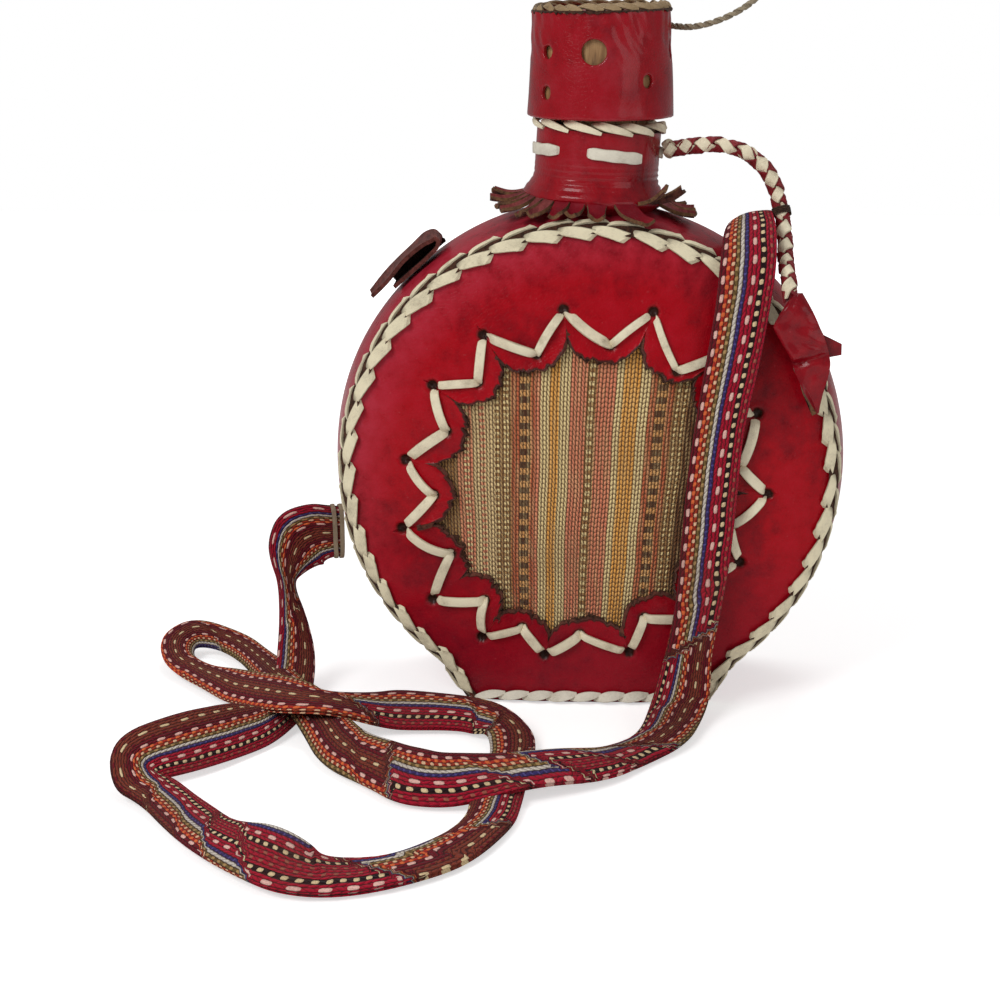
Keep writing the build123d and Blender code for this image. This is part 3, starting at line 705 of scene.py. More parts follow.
rawhide = rawhide_finish("rawhide", (0.95, 0.84, 0.61), (0.28, 0.21, 0.12), 0.65)
edge_rawhide = rawhide_finish("edge_rawhide", (0.90, 0.80, 0.56), (0.20, 0.15, 0.09), 0.8, 4.0)
bright_rawhide = rawhide_finish("bright_rawhide", (0.86, 0.80, 0.66), (0.34, 0.28, 0.19), 0.5)
red_lace = rawhide_finish("red_lace", (0.25, 0.006, 0.012), (0.05, 0.004, 0.006), 0.6)
brown_lace = rawhide_finish("brown_lace", (0.36, 0.24, 0.12), (0.035, 0.018, 0.010), 0.85)
grey_cord = rawhide_finish("grey_cord", (0.36, 0.29, 0.19), (0.07, 0.05, 0.035), 0.6)
print("lace finishes ready")

# %% [markdown]
# A few measures of the body come first, because the front leather's finish paints a pale reflection towards the upper
# left rim of the face and so needs the face's middle: the radius of the seam, the height of its middle, the radius of
# the two domes and their depth, how far the side bulges, and the foot.
# %% Measures of the body
SEAM, CENTRE, BALL, HALF_DEPTH = 80.0, 79.5, 435.8, 35.5
SEAM_DEPTH = HALF_DEPTH - BALL + sqrt(BALL**2 - SEAM**2)
BULGE = 5.5
SIDE_BALL = (SEAM_DEPTH**2 + BULGE**2) / (2 * BULGE)
FOOT_TURN, CORNER = radians(37), 38.0
LEATHER = 1.7
print("seam depth in mm:", round(SEAM_DEPTH, 1))


# %% Crimson leather finish
def crimson_finish(name, marks=False, sheen_haze=0.1, dust=0.0, rim_sheen=0.0, coat=0.12, depth=1.0):
    """Polished crimson leather, with painted light in its colour: painted shade towards the bottom, pale pink patches
    that are real dust up to the dust level and painted sheen above it, and on some pieces a painted reflection along
    the upper left rim; on the front, painted shade in the holes and the darker cut edge of the window are added.
    """
    made = finish(name, Coat_Weight=coat, Coat_Roughness=0.14, Specular_IOR_Level=0.1)
    where = coords()
    cloud, fine = noise(where, 26, 4, 0.55), noise(where, 210, 6, 0.65)
    tone = ramp(
        fine * 0.35 + cloud * 0.65,
        (0.36, (0.17 * depth, 0.0014, 0.006)), (0.46, (0.30 * depth, 0.0014, 0.007)),
        (0.54, (0.40 * depth, 0.0016, 0.008)), (0.66, (0.45 * depth, 0.004, 0.014)),
    )
    x, z = part(where, 0), part(where, 2)
    # Painted shade: the colour turns darker wine towards the bottom of the body, where it faces away from the light
    low = z + (cloud - 0.5) * 0.05
    tone = mix(ramp(low * 5.0, (0.10, 0.5), (0.30, 0.0)), tone, (0.25, 0.008, 0.022))
    # Painted reflection: a pale pink haze along the upper left rim of the face
    if rim_sheen:
        off = z - CENTRE * MM
        span = calc("SQRT", x**2.0 + off**2.0)
        upper = x * -8.0 + off * 9.5
        sheen_border = ramp(span * 12.0, (0.76, 0.0), (0.96, 1.0)) * ramp(upper, (0.05, 0.0), (0.75, 1.0))
        cloudy = ramp(fine * 0.6 + cloud * 0.4, (0.36, 0.15), (0.60, 1.0))
        tone = mix(sheen_border * cloudy * rim_sheen, tone, (0.52, 0.055, 0.095))
    # Pale pink patches: real dust at the dust level, and painted sheen up to the haze level
    dust_and_sheen = ramp(noise(stretched(where, (1, 1, 1), (0.4, 0.2, 0.6)), 60, 7, 0.72),
                 (0.50, dust), (0.70, max(sheen_haze, dust)))
    tone = mix(dust_and_sheen, tone, (0.40, 0.050, 0.070))
    fleck = ramp(noise(where, 620, 4, 0.7), (0.66, 0.0), (0.74, 0.3))
    tone = mix(fleck, tone, (0.55, 0.12, 0.13))
    scuff = ramp(noise(where, 95, 8, 0.8), (0.68, 0.0), (0.75, 0.6))
    tone = mix(scuff, tone, (0.58, 0.26, 0.27))
    grain = node("TexVoronoi", 0, {"Vector": where, "Scale": 800.0}, feature="DISTANCE_TO_EDGE")
    pebble = ramp(grain, (0.0, 0.0), (0.16, 1.0))
    if marks:
        ragged = (noise(where, 900, 3) - 0.5) * 0.9
        # Painted shade: each hole's pit turns near-black, as the shade inside a hole
        pit = ramp((kept("hole") + ragged) / 5.0, (0.30, 0.96), (0.40, 0.35), (0.52, 0.0))
        tone = mix(pit, tone, (0.022, 0.010, 0.006))
        tone = mix(ramp(kept("rim") + ragged, (0.35, 0.9), (0.80, 0.0)), tone, (0.045, 0.014, 0.010))
    paint(Base_Color=tone, Roughness=fine * 0.24 + (dust_and_sheen * 0.3 + 0.18))
    dents = relief(cloud, 1.6, 0.35)
    relief(pebble * 0.35 + fine, 0.16, 0.75, Normal=dents)
    return made


# Each leather below gets its own amount of painted sheen in patches and of painted reflection along the rim
crimson = crimson_finish("crimson_leather")
face_crimson = crimson_finish("crimson_front", marks=True, sheen_haze=0.05, rim_sheen=0.6)
side_crimson = crimson_finish("side_crimson", sheen_haze=0.35, rim_sheen=0.4, depth=0.8)
cap_crimson = crimson_finish("cap_crimson", sheen_haze=0.25, coat=0.45, depth=0.8)
keeper_crimson = crimson_finish("keeper_crimson", sheen_haze=0.05, coat=0.4, depth=0.75)
worn_sheen_crimson = crimson_finish("worn_sheen_crimson", sheen_haze=0.5, dust=0.15, depth=0.5)
print("leather finishes ready")


# %% Flesh side, wood, cork and gourd finishes
def grained_finish(name, grain, stops, depth, strength, stretch=(1, 1, 1), turn=(0, 0, 0), **sockets):
    """A surface whose tones and relief both follow one noise, given by its scale, detail and roughness."""
    made = finish(name, **sockets)
    height = noise(stretched(coords(), stretch, turn), *grain)
    paint(Base_Color=ramp(height, *stops))
    relief(height, depth, strength)
    return made


def fuzzy_finish(name, light, dark, scale=420, sheen=0.08):
    """A rough fibrous surface in two tones, as on the flesh side of leather."""
    return grained_finish(name, (scale, 8, 0.75), [(0.35, dark), (0.66, light)], 0.5, 0.9, (1, 0.4, 1),
                          (0.5, 0.3, 0.8), Roughness=0.95, Sheen_Weight=sheen, Specular_IOR_Level=0.15)


suede = fuzzy_finish("brown_suede", (0.20, 0.065, 0.04), (0.035, 0.011, 0.008))
fuzzy_brown = fuzzy_finish("fuzzy_brown", (0.20, 0.055, 0.045), (0.05, 0.014, 0.010), 520)
# Near-black flesh side: painted shade for the hollow inside the left keeper and for the undersides of the keepers
shadow_suede = fuzzy_finish("shadow_suede", (0.045, 0.014, 0.010), (0.008, 0.004, 0.003), sheen=0.0)
tan_edge = fuzzy_finish("tan_edge", (0.24, 0.12, 0.055), (0.045, 0.018, 0.010))
rose_brown = fuzzy_finish("rose_brown", (0.27, 0.060, 0.055), (0.10, 0.010, 0.013), 330)
frayed = fuzzy_finish("frayed_fibre", (0.11, 0.045, 0.025), (0.012, 0.006, 0.005), 900)
thread = fuzzy_finish("dark_thread", (0.10, 0.05, 0.03), (0.012, 0.008, 0.007), 1500)
wood = grained_finish("tan_wood", (700, 4, 0.6), [
    (0.35, (0.17, 0.085, 0.030)), (0.5, (0.30, 0.16, 0.060)), (0.65, (0.42, 0.25, 0.105)),
], 0.2, 0.5, (1, 1, 0.12), Roughness=0.6)
cork = grained_finish("cork", (330, 5, 0.7), [
    (0.40, (0.10, 0.045, 0.02)), (0.50, (0.42, 0.25, 0.12)), (0.70, (0.56, 0.36, 0.19)),
], 0.6, 0.8, Roughness=0.9)
gourd = grained_finish("gourd_shell", (60, 6, 0.6), [
    (0.35, (0.22, 0.10, 0.035)), (0.5, (0.40, 0.22, 0.085)), (0.7, (0.52, 0.33, 0.15)),
], 0.6, 0.5, Roughness=0.5, Coat_Weight=0.1)
print("plain finishes ready")

# %% [markdown]
# The cloth in the window is a coarse striped weave of cream, gold, terracotta and olive. Its stripes run
# upwards, so the material reads how far to the right a point is and picks a colour from a row of stops, and
# the weave is a fine chain of floats.
# %% Striped cloth finish
TERRA, SALMON = (0.62, 0.15, 0.06), (0.88, 0.28, 0.15)
STRAW, GOLD = (1.0, 0.76, 0.36), (1.0, 0.46, 0.09)
OLIVE, BARK, CORN = (0.40, 0.20, 0.065), (0.17, 0.065, 0.022), (0.80, 0.38, 0.12)
striped = finish("striped_cloth", Roughness=0.92, Sheen_Weight=0.2, Specular_IOR_Level=0.2)
where = coords()
sway = (noise(where, 35, 2) - 0.5) * 1.4
plain, up = part(where, 0) * 1000.0, part(where, 2) * 1000.0
right = plain + sway + (plain * 0.0018 + 0.04) * calc("SUBTRACT", 76.0, up)
colour = ramp(
    (right + 50.0) / 86.0,
    (0.0, OLIVE), (0.085, SALMON), (0.143, (0.92, 0.66, 0.32)), (0.223, OLIVE), (0.287, TERRA), (0.318, CORN),
    (0.357, TERRA), (0.372, SALMON), (0.394, STRAW),
    (0.422, GOLD), (0.458, STRAW), (0.50, SALMON), (0.558, OLIVE), (0.593, SALMON), (0.657, STRAW), (0.686, GOLD),
    (0.743, STRAW), (0.778, TERRA), (0.806, CORN), (0.845, TERRA), (0.871, OLIVE), (0.921, BARK),
    interpolation="CONSTANT",
)
DARK_SPOT = (0.10, 0.035, 0.014)
for middle, half, period, tint in [
    (-21.0, 1.7, 4.3, DARK_SPOT), (-34.5, 0.9, 2.1, SALMON), (-39.5, 0.9, 2.1, STRAW), (-29.6, 0.8, 2.1, STRAW),
    (-26.8, 0.8, 2.1, STRAW), (-0.5, 0.8, 2.8, STRAW), (21.0, 1.7, 4.3, DARK_SPOT), (26.2, 0.7, 2.1, STRAW),
    (28.3, 0.7, 2.1, STRAW),
]:
    there = (abs(right - middle) < half) * (calc("FRACT", up / period) < 0.5)
    colour = mix(there, colour, tint)
height = weave(right, up, 1.05, 1.6, 0.3)
yarns = noise(stretched(where, (1, 1, 0.05)), 1100, 2, 0.5)
colour = mix(ramp(yarns, (0.45, 0.0), (0.62, 0.3)), colour, STRAW)
# Painted shade: the low gaps between the floats turn dark brown
colour = mix(ramp(height, (0.10, 1.0), (0.54, 0.0)), colour, (0.085, 0.030, 0.010))
age = ramp(noise(where, 38, 5, 0.6), (0.50, 0.0), (0.78, 0.35))
paint(Base_Color=mix(age, colour, (0.24, 0.12, 0.05)))
relief(height, 0.6)
print("cloth finish ready")

# %% [markdown]
# ## The body's own surfaces
# The bottle is a flat drum: two shallow domes for its faces, a bulging strip of leather round the side, and
# a cut foot. The helpers below give a point on the dome or on the side, and a place along the seam between
# them, so that leather, stitches and lacing all lie on the same surfaces as the solids.
# %% Surfaces of the body
def dome(x, z):
    """How far a face stands from the middle of the body."""
    return HALF_DEPTH - BALL + np.sqrt(BALL**2 - x**2 - (z - CENTRE) ** 2)


def side_rise(y):
    """How far the side stands outside the seam, at a depth y."""
    return BULGE - SIDE_BALL + np.sqrt(np.maximum(SIDE_BALL**2 - y**2, 0))


def outline_line():
    """The seam as seen from the front, from the left corner of the base up round the top."""
    hip_x, hip_z = SEAM * sin(FOOT_TURN), CENTRE - SEAM * cos(FOOT_TURN)
    share = np.linspace(0, 1, 24, endpoint=False)
    left = columns(-CORNER + share * (CORNER - hip_x), share * hip_z)
    turn = np.linspace(-pi / 2 - FOOT_TURN, -5 * pi / 2 + FOOT_TURN, 500)
    return np.concatenate([left, columns(SEAM * np.cos(turn), CENTRE + SEAM * np.sin(turn)), left[::-1] * (-1, 1)])


def softened(values, window):
    """The same row of values, each blended with its neighbours."""
    soft = np.hanning(window)
    return np.convolve(np.pad(values, window // 2, mode="edge"), soft / soft.sum(), "valid")


seam_points = outline_line()
seam_run = length_along(seam_points)
seam_length = seam_run[-1]
seam_way = unit(np.gradient(seam_points, axis=0))
seam_out = unit(columns(softened(-seam_way[:, 1], 15), softened(seam_way[:, 0], 15)))


def seam_at(run):
    """X and Z of the seam at a length along it, and the X and Z of its outward direction there."""
    return [np.interp(run, seam_run, line[:, n]) for line in (seam_points, seam_out) for n in (0, 1)]


def on_seam(side, run, inward, rise):
    """A point near a seam and the way the surface looks there: run is the length along it, inward is how
    far towards the middle of the face (or, below 0, over on to the side), and rise is the height above."""
    x, z, out_x, out_z = seam_at(run)
    face, depth = np.maximum(inward, 0), SEAM_DEPTH - np.maximum(-inward, 0)
    x, z = x - out_x * face, z - out_z * face
    y = np.where(inward > 0, dome(x, z), depth)
    bulge = np.where(inward > 0, 0, side_rise(depth))
    turn = smooth_step(-3.0, 3.0, inward) * pi / 2
    look = unit(columns(out_x * np.cos(turn), side * (0.12 + np.sin(turn)), out_z * np.cos(turn)))
    return columns(x + out_x * bulge, side * y, z + out_z * bulge) + look * np.reshape(rise, (-1, 1)), look


def unevenness(x, z, size=1.0):
    """The slow unevenness of a gourd under its leather."""
    slow = np.sin(x / 23 + 1.3) * np.cos(z / 19 + 0.4) + 0.6 * np.sin((x + z) / 11) * np.sin((x - 2 * z) / 17)
    return 0.28 * size * slow


print("seam length in mm:", round(seam_length))

# %% [markdown]
# ## The front leather and its window
# The front is one piece of leather with a scalloped window and two rings of punched holes. A grid with one
# edge on the window's cut and the other on the seam follows both. The tongues between the holes curl up a
# little, each hole is a pit, and the seam puckers where the edge lace pulls. Its distance to the nearest
# hole and to the cut are kept on the mesh: the material uses them to paint shade into the pits and to darken the raw
# edge.
# %% Holes and window
STAR, STAR_REACH = np.array([-1.5, 76.5]), 60.0
outer_turns = [97, 69, 45, 23, -3, -27, -51, -75, -102, -122, -141, -165, -187, -213, -236]
outer_shares = [0.96, 1.01, 1.01, 1.01, 1.0, 0.96, 0.98, 1.0, 1.01, 1.05, 1.07, 1.03, 0.98, 0.98, 0.98]
inner_turns = [80, 52, 33, 7, -16, -40, -66, -91, -112, -129, -151, -175, -201, -224, -250]
inner_shares = [0.78, 0.8, 0.82, 0.85, 0.83, 0.83, 0.83, 0.86, 0.89, 0.86, 0.83, 0.82, 0.8, 0.8, 0.76]
cusp_shares = [0.8, 0.87, 0.86, 0.86, 0.86, 0.84, 0.85, 0.89, 0.89, 0.9, 0.83, 0.9, 0.83, 0.85, 0.84]
lobe_shares = [0.69, 0.74, 0.74, 0.75, 0.72, 0.7, 0.73, 0.77, 0.8, 0.76, 0.77, 0.72, 0.7, 0.7, 0.68]


def round_star(turn, reach):
    """X and Z of points round the star, by direction and distance."""
    return STAR[0] + reach * np.cos(turn), STAR[1] + reach * np.sin(turn)


def star(turns, shares):
    """A ring of points, as rows of X and Z."""
    return columns(*round_star(np.radians(turns), np.array(shares) * STAR_REACH))


def from_star(points):
    """The directions and the distances of points from the middle of the star."""
    away = points - STAR
    return np.unwrap(np.arctan2(away[:, 1], away[:, 0])), np.linalg.norm(away, axis=1)


outer_holes, inner_holes = star(outer_turns, outer_shares), star(inner_turns, inner_shares)
cusps, lobes = star(outer_turns, cusp_shares), star(inner_turns, lobe_shares)
all_holes = np.concatenate([outer_holes, inner_holes])
HOLES = len(outer_holes)


def through(first, middle, last, share):
    """Points on the circle through three points, at shares of the way from the first to the last."""
    a, b, c = (complex(*spot) for spot in (first, middle, last))
    ratio = (c - a) / (b - a)
    centre = a - (a - b) * (ratio - abs(ratio) ** 2) / 2j / ratio.imag
    turns = np.unwrap(np.angle([a - centre, b - centre, c - centre]))
    spots = centre + abs(a - centre) * np.exp(1j * (turns[0] + (turns[2] - turns[0]) * share))
    return columns(spots.real, spots.imag)


ARC_CELLS = 34
edge_line = []
for n, cusp in enumerate(cusps):
    share = np.linspace(0, 1, ARC_CELLS, endpoint=False)
    arc = through(cusp, lobes[n], cusps[(n + 1) % HOLES], share)
    nick = 1.9 * np.exp(-((np.minimum(share, 1 - share) / 0.035) ** 2))
    jag = 0.32 * hand.standard_normal(ARC_CELLS) + 0.7 * np.sin(share * 29 + 5 * n) * np.sin(share * 13 + n)
    edge_line.append(arc + unit(arc - STAR) * (nick + jag)[:, None])
edge_line = np.concatenate(edge_line)
EDGE_CELLS = len(edge_line)
base_line = columns(np.linspace(CORNER, -CORNER, 60)[1:-1], 0)
whole_turn, whole_reach = from_star(np.concatenate([seam_points, base_line]))


def outline_reach(turn):
    """How far the outline is from the middle of the star, in a direction."""
    turn = whole_turn[0] - np.mod(whole_turn[0] - turn, 2 * pi)
    return np.interp(-turn, -np.append(whole_turn, whole_turn[0] - 2 * pi), np.append(whole_reach, whole_reach[0]))


def puckers(x, z, depth=0.5):
    """Small dips in a row along the seam, where the lace goes through."""
    turn = np.arctan2(z - CENTRE, x)
    off = np.maximum(SEAM - np.hypot(x, z - CENTRE), 0)
    return -depth * (0.5 + 0.5 * np.cos(turn * 44)) * np.exp(-off / 4)


print("holes:", len(all_holes))

# %% Front leather
front, u, v = flat_grid("front_leather", EDGE_CELLS, 40)
cell = cells(u, EDGE_CELLS) % EDGE_CELLS
edge_turn, edge_reach = from_star(edge_line)
near = edge_reach[cell]
# The grid's lines start at the cut in its own ragged directions and soon run in even ones
rounds = np.concatenate([edge_turn + 2 * pi, edge_turn, edge_turn - 2 * pi])
window = np.hanning(25) / np.hanning(25).sum()
even_turn = np.convolve(np.minimum.accumulate(rounds), window, "same")[EDGE_CELLS:2 * EDGE_CELLS]
turn = edge_turn[cell] + (even_turn - edge_turn)[cell] * smooth_step(0, 0.12, v)
reach = near + (outline_reach(turn) - near) * v
x, z = round_star(turn, reach)
to_hole = np.min([np.hypot(x - a, z - b) for a, b in all_holes], axis=0)
to_cut = reach - near
tongue = 0.5 + 0.5 * np.sin(np.arange(HOLES) * 2.4)[np.minimum((u * HOLES).astype(int), HOLES - 1)]
lift = unevenness(x, z) + puckers(x, z) - 1.5 * np.exp(-((to_hole / 1.7) ** 4))
lift = lift + 0.16 * np.exp(-(((to_hole - 2.7) / 0.7) ** 2)) + (0.25 + 0.75 * tongue) * np.exp(-to_cut / 2.6)
move_points(front, columns(x, -dome(x, z) - lift, z))
lay_map(front, x, z)
mark(front, "hole", np.minimum(to_hole, 8))
mark(front, "rim", np.minimum(to_cut, 8))
sheet(front, FRONT, LEATHER, [face_crimson, suede], "red_leather", "front_panel")

# %% Frayed fibres round the window
fray, u, v = flat_grid("window_fray", EDGE_CELLS, 3)
cell = cells(u, EDGE_CELLS) % EDGE_CELLS
cut = edge_line[cell]
ragged = 0.5 + 1.5 * hand.random(EDGE_CELLS) ** 2
x, z = (cut - unit(cut - STAR) * (v * (0.8 + ragged[cell]) - 0.8)[:, None]).T
move_points(fray, columns(x, -dome(x, z) + 0.65 + 0.7 * v, z))
sheet(fray, FRONT, 0.3, [frayed], "red_leather")

# %% [markdown]
# ## The striped cloth
# Behind the window a round piece of cloth is held between the leather and the gourd. It is a disc that
# follows the dome, a grid with one edge drawn together at its middle, with slow waves of slack in it.
# %% Cloth inlay
cloth, u, v = flat_grid("striped_inlay", 96, 30)
x, z = round_star(2 * pi * u, 64.0 * v)
slack = 0.14 * np.sin(x / 3.1 + 0.8 * np.sin(z / 9)) * np.sin(z / 27 + 1) * (1 - v**4)
move_points(cloth, columns(x, -dome(x, z) + 2.05 - slack, z))
sheet(cloth, FRONT, 0.6, [striped], "woven_cloth", "textile_inlay")

# %% [markdown]
# ## The window's lace
# One long lace goes in and out of the holes and makes a star of thirty flat stitches. Each stitch is a strip
# along a short line that lies on the dome and dips into a hole at both ends. They are not alike: width,
# bow and lean change a little from stitch to stitch.
# %% Window stitches
def window_stitch(start, end, number):
    """The line, look, width and thickness of one stitch."""
    share = np.linspace(0, 1, 15)
    way = unit(end - start)
    setback = (1.7, 0.1) if number % 2 == 0 else (0.1, 1.7)
    first, last = start + way * setback[0], end - way * setback[1]
    bow = columns(-way[1] * hump(share), way[0] * hump(share)) * hand.normal(0, 0.45)
    x, z = (first + (last - first) * share[:, None] + bow).T
    look = unit(columns(x, -dome(x, z) - (BALL - HALF_DEPTH), z - CENTRE))
    dip = 2.3 * (1 - smooth_step(0, 0.10, share)) + 2.3 * smooth_step(0.90, 1, share)
    rise = 0.75 + 0.45 * hump(share) - dip + 0.25 * (number % 2)
    line = columns(x, -dome(x, z), z) + look * (rise + unevenness(x, z))[:, None]
    lean = look + 0.22 * hand.normal() * np.array([way[1], 0, -way[0]])
    width = (3.2 + hand.normal(0, 0.25)) * (0.86 + 0.14 * hump(share) ** 0.5)
    return line, lean, width, 1.05


runs = []
for n in range(HOLES):
    runs.append(window_stitch(outer_holes[n], inner_holes[n], 2 * n))
    runs.append(window_stitch(inner_holes[n], outer_holes[(n + 1) % HOLES], 2 * n + 1))
strips("window_lace", runs, rawhide, "rawhide_lace", "window_lacing", around=10)

# %% [markdown]
# ## The edge lace
# The two seams are closed with a flat lace that is braided over the edge. Seen from the front it makes two
# rows of leaves: wide slanting ones that lie on the face and go down into their holes, and narrow ones
# that run over on to the side. Both start under the ridge, and each covers the start of the next.
# %% Edge stitches
def leaf(side, start, length, inward, width, rise, skew):
    """One leaf of the edge lace: it starts narrow under its neighbour, rises, and dips into its hole."""
    share = np.linspace(0, 1, 13)
    row = inward[0] + (inward[1] - inward[0]) * share
    dip = 1.3 * (1 - smooth_step(0, 0.42, share)) + 1.2 * smooth_step(0.94, 1, share)
    line, look = on_seam(side, start + length * share, row, rise + 0.4 * hump(share) - dip)
    wide = width * (0.42 + 0.58 * smooth_step(0, 0.55, share))
    return line, look, wide * (1 + 0.05 * hand.normal()), 0.9, skew * side


def edge_lace(name, side, node_name):
    """The whole edge lace of one seam: leaves over the face and leaves over the side."""
    count = 40
    share = (np.arange(count) + 0.05 * hand.standard_normal(count)) / count
    starts = seam_length * (share - 0.011 * np.sin(2 * pi * share))
    runs = []
    for n, start in enumerate(starts):
        top = sin(pi * n / count)
        size = 1 + 0.12 * top + 0.05 * hand.normal()
        pitch = seam_length / count * (0.92 + 0.16 * top)
        for ahead, reach, *shape in [(-1.0, 1.2 * pitch, (0.0, 1.9 + 0.5 * top), 3.7 * size, 0.8, 1.1),
                                     (0.25 * pitch, 1.25 * pitch, (-0.5, -2.9), 2.5, 0.9, -0.9)]:
            first = min(max(start + ahead, 0.6), seam_length - 11)
            runs.append(leaf(side, first, min(reach, seam_length - first - 0.4), *shape))
    strips(name, runs, edge_rawhide, "rawhide_lace", node_name)


edge_lace("front_edge_lace", -1, "front_edge_lacing")
edge_lace("back_edge_lace", 1, "back_edge_lacing")

# %% Dark lace under the leaves
# The hidden lace that the leaves go over is a dark fibre strip, as painted shade in the slits between them
for name, side in [("front_under_lace", -1), ("back_under_lace", 1)]:
    run = np.linspace(1.5, seam_length - 1.5, 360)
    line, look = on_seam(side, run, np.full(360, 0.1), 0.1)
    strips(name, [(line, look, 4.4, 0.6)], frayed, "rawhide_lace")


# %% Base stitches
def base_lace(name, side, node_name):
    """The whipped lace along the base: plump lens-shaped stitches, each a little over the next."""
    count = 9
    share = np.linspace(0, 1, 11)
    z = 1.2 + 1.9 * share + 0.5 * hump(share)
    rise = 0.55 + 1.35 * hump(share) ** 0.8
    runs = []
    for n in range(count):
        x = -CORNER + 1.4 + (n + share * 1.22 - 0.08) * 2 * (CORNER - 2) / count
        width = 3.3 * hump(0.08 + 0.84 * share) ** 0.8 * (1 + 0.08 * hand.normal())
        runs.append((columns(x, side * (dome(x, z) + rise), z), (0, side, 0.35), width, 1.3))
    strips(name, runs, bright_rawhide, "rawhide_lace", node_name)


base_lace("base_front_lace", -1, "base_front_lacing")
base_lace("base_back_lace", 1, "base_back_lacing")

# %% [markdown]
# ## Back and side leather
# The back is a plain dome of the same leather. The side is a strip that bulges round the drum, with the
# same small puckers along both its edges. Where the neck comes through, the faces inside it are deleted.
# %% Back leather
back, u, v = flat_grid("back_leather", 320, 44)
turn = whole_turn[0] - 2 * pi * u
x, z = round_star(turn, outline_reach(turn) * v)
lift = unevenness(x + 31, z + 12, 1.3) * (1 - v**6) + puckers(x, z)
move_points(back, columns(x, dome(x, z) + lift, z))
sheet(back, BACK, LEATHER, [crimson, suede], "red_leather", "back_panel")

# %% Side leather
NECK_Z, LEAN, NECK_HOLE = 150.0, radians(3.5), 18.6
band, u, v = flat_grid("side_leather", 360, 28)
run, y = seam_length * u, SEAM_DEPTH * (2 * v - 1) * 0.999
x, z, out_x, out_z = seam_at(run)
edge = np.minimum(v, 1 - v) * 2 * SEAM_DEPTH
rise = side_rise(y) + 0.3 * np.sin(run / 21) * np.sin(y / 9 + run / 33) * smooth_step(0, 8, edge)
rise = rise - 0.5 * (0.5 + 0.5 * np.cos(2 * pi * 40 * u)) * np.exp(-edge / 4)
move_points(band, columns(x + out_x * rise, y, np.maximum(z + out_z * rise, 0.05)))


def neck_distance(places):
    """How far points are from the neck's leaning axis."""
    off = places - np.array([0, 0, NECK_Z])
    axis = np.array([sin(LEAN), 0, cos(LEAN)])
    return np.linalg.norm(off - (off @ axis)[:, None] * axis, axis=1)


only(band)
bpy.ops.object.mode_set(mode="EDIT")
bpy.ops.mesh.select_all(action="DESELECT")
bpy.ops.object.mode_set(mode="OBJECT")
centres = np.array([face.center for face in band.data.polygons]) / MM
hidden = (neck_distance(centres) < NECK_HOLE) & (centres[:, 2] > 100)
band.data.polygons.foreach_set("select", hidden)
bpy.ops.object.mode_set(mode="EDIT")
bpy.ops.mesh.delete(type="FACE")
bpy.ops.object.mode_set(mode="OBJECT")
sheet(band, lambda centres: centres - (0, 0, CENTRE), LEATHER, [side_crimson, suede], "red_leather", "side_band")

# %% [markdown]
# ## The neck
# The neck's leather is a sleeve, tight round the gourd's neck and flared at its foot, with creases round it.
# Its skirt was cut into strips that dried and curled as they liked, so each strip gets its own direction,
# length, curl and twist from a table: outside red, brown and fuzzy below.
# %% Placing things round the neck
def leaning(x, y, height):
    """A point given by its distances from the neck's leaning axis and its height along it."""
    return columns(x * cos(LEAN) + height * sin(LEAN), y, NECK_Z - x * sin(LEAN) + height * cos(LEAN))


def on_neck(radius, turn, height):
    """A point round the neck: its distance from the axis, its turn in degrees and its height."""
    turn = np.radians(turn)
    return leaning(radius * np.cos(turn), radius * np.sin(turn), height)


def neck_look(turn, up=0.0):
    """The way a wall round the neck looks, tilted up by a share."""
    turn = np.radians(turn)
    return unit(columns(np.cos(turn), np.sin(turn), up))


print("the neck leans by", round(LEAN, 3), "radians")

# %% Sleeve
FLARE_AT, SLEEVE_TOP = 16.6, 38.9
sleeve, u, v = flat_grid("neck_leather", 144, 44)
turn = 360 * u
foot_x, foot_y = 23.6 * np.cos(np.radians(turn)), 23.6 * np.sin(np.radians(turn))
foot = CENTRE + np.sqrt((SEAM + side_rise(foot_y)) ** 2 - foot_x**2) - NECK_Z + foot_x * sin(LEAN) + 0.5
foot = np.minimum(foot, FLARE_AT)
height = foot + (SLEEVE_TOP - foot) * v
radius = 20.35 + 3.3 * (1 - smooth_step(0, 8.0, height - FLARE_AT)) ** 1.6 * smooth_step(13.0, 16.4, height)
crease = 0.28 * np.sin(height * 3.4 + 0.8 * np.sin(np.radians(2 * turn))) * smooth_step(30, 22, height)
radius = radius + crease * (0.6 + 0.4 * np.sin(np.radians(3 * turn + 40))) + 0.12 * np.sin(np.radians(5 * turn))
move_points(sleeve, on_neck(radius, turn, height))
sheet(sleeve, lambda centres: centres - (centres[:, 0].mean(), 0, 175), 1.6, [cap_crimson, suede], "red_leather")

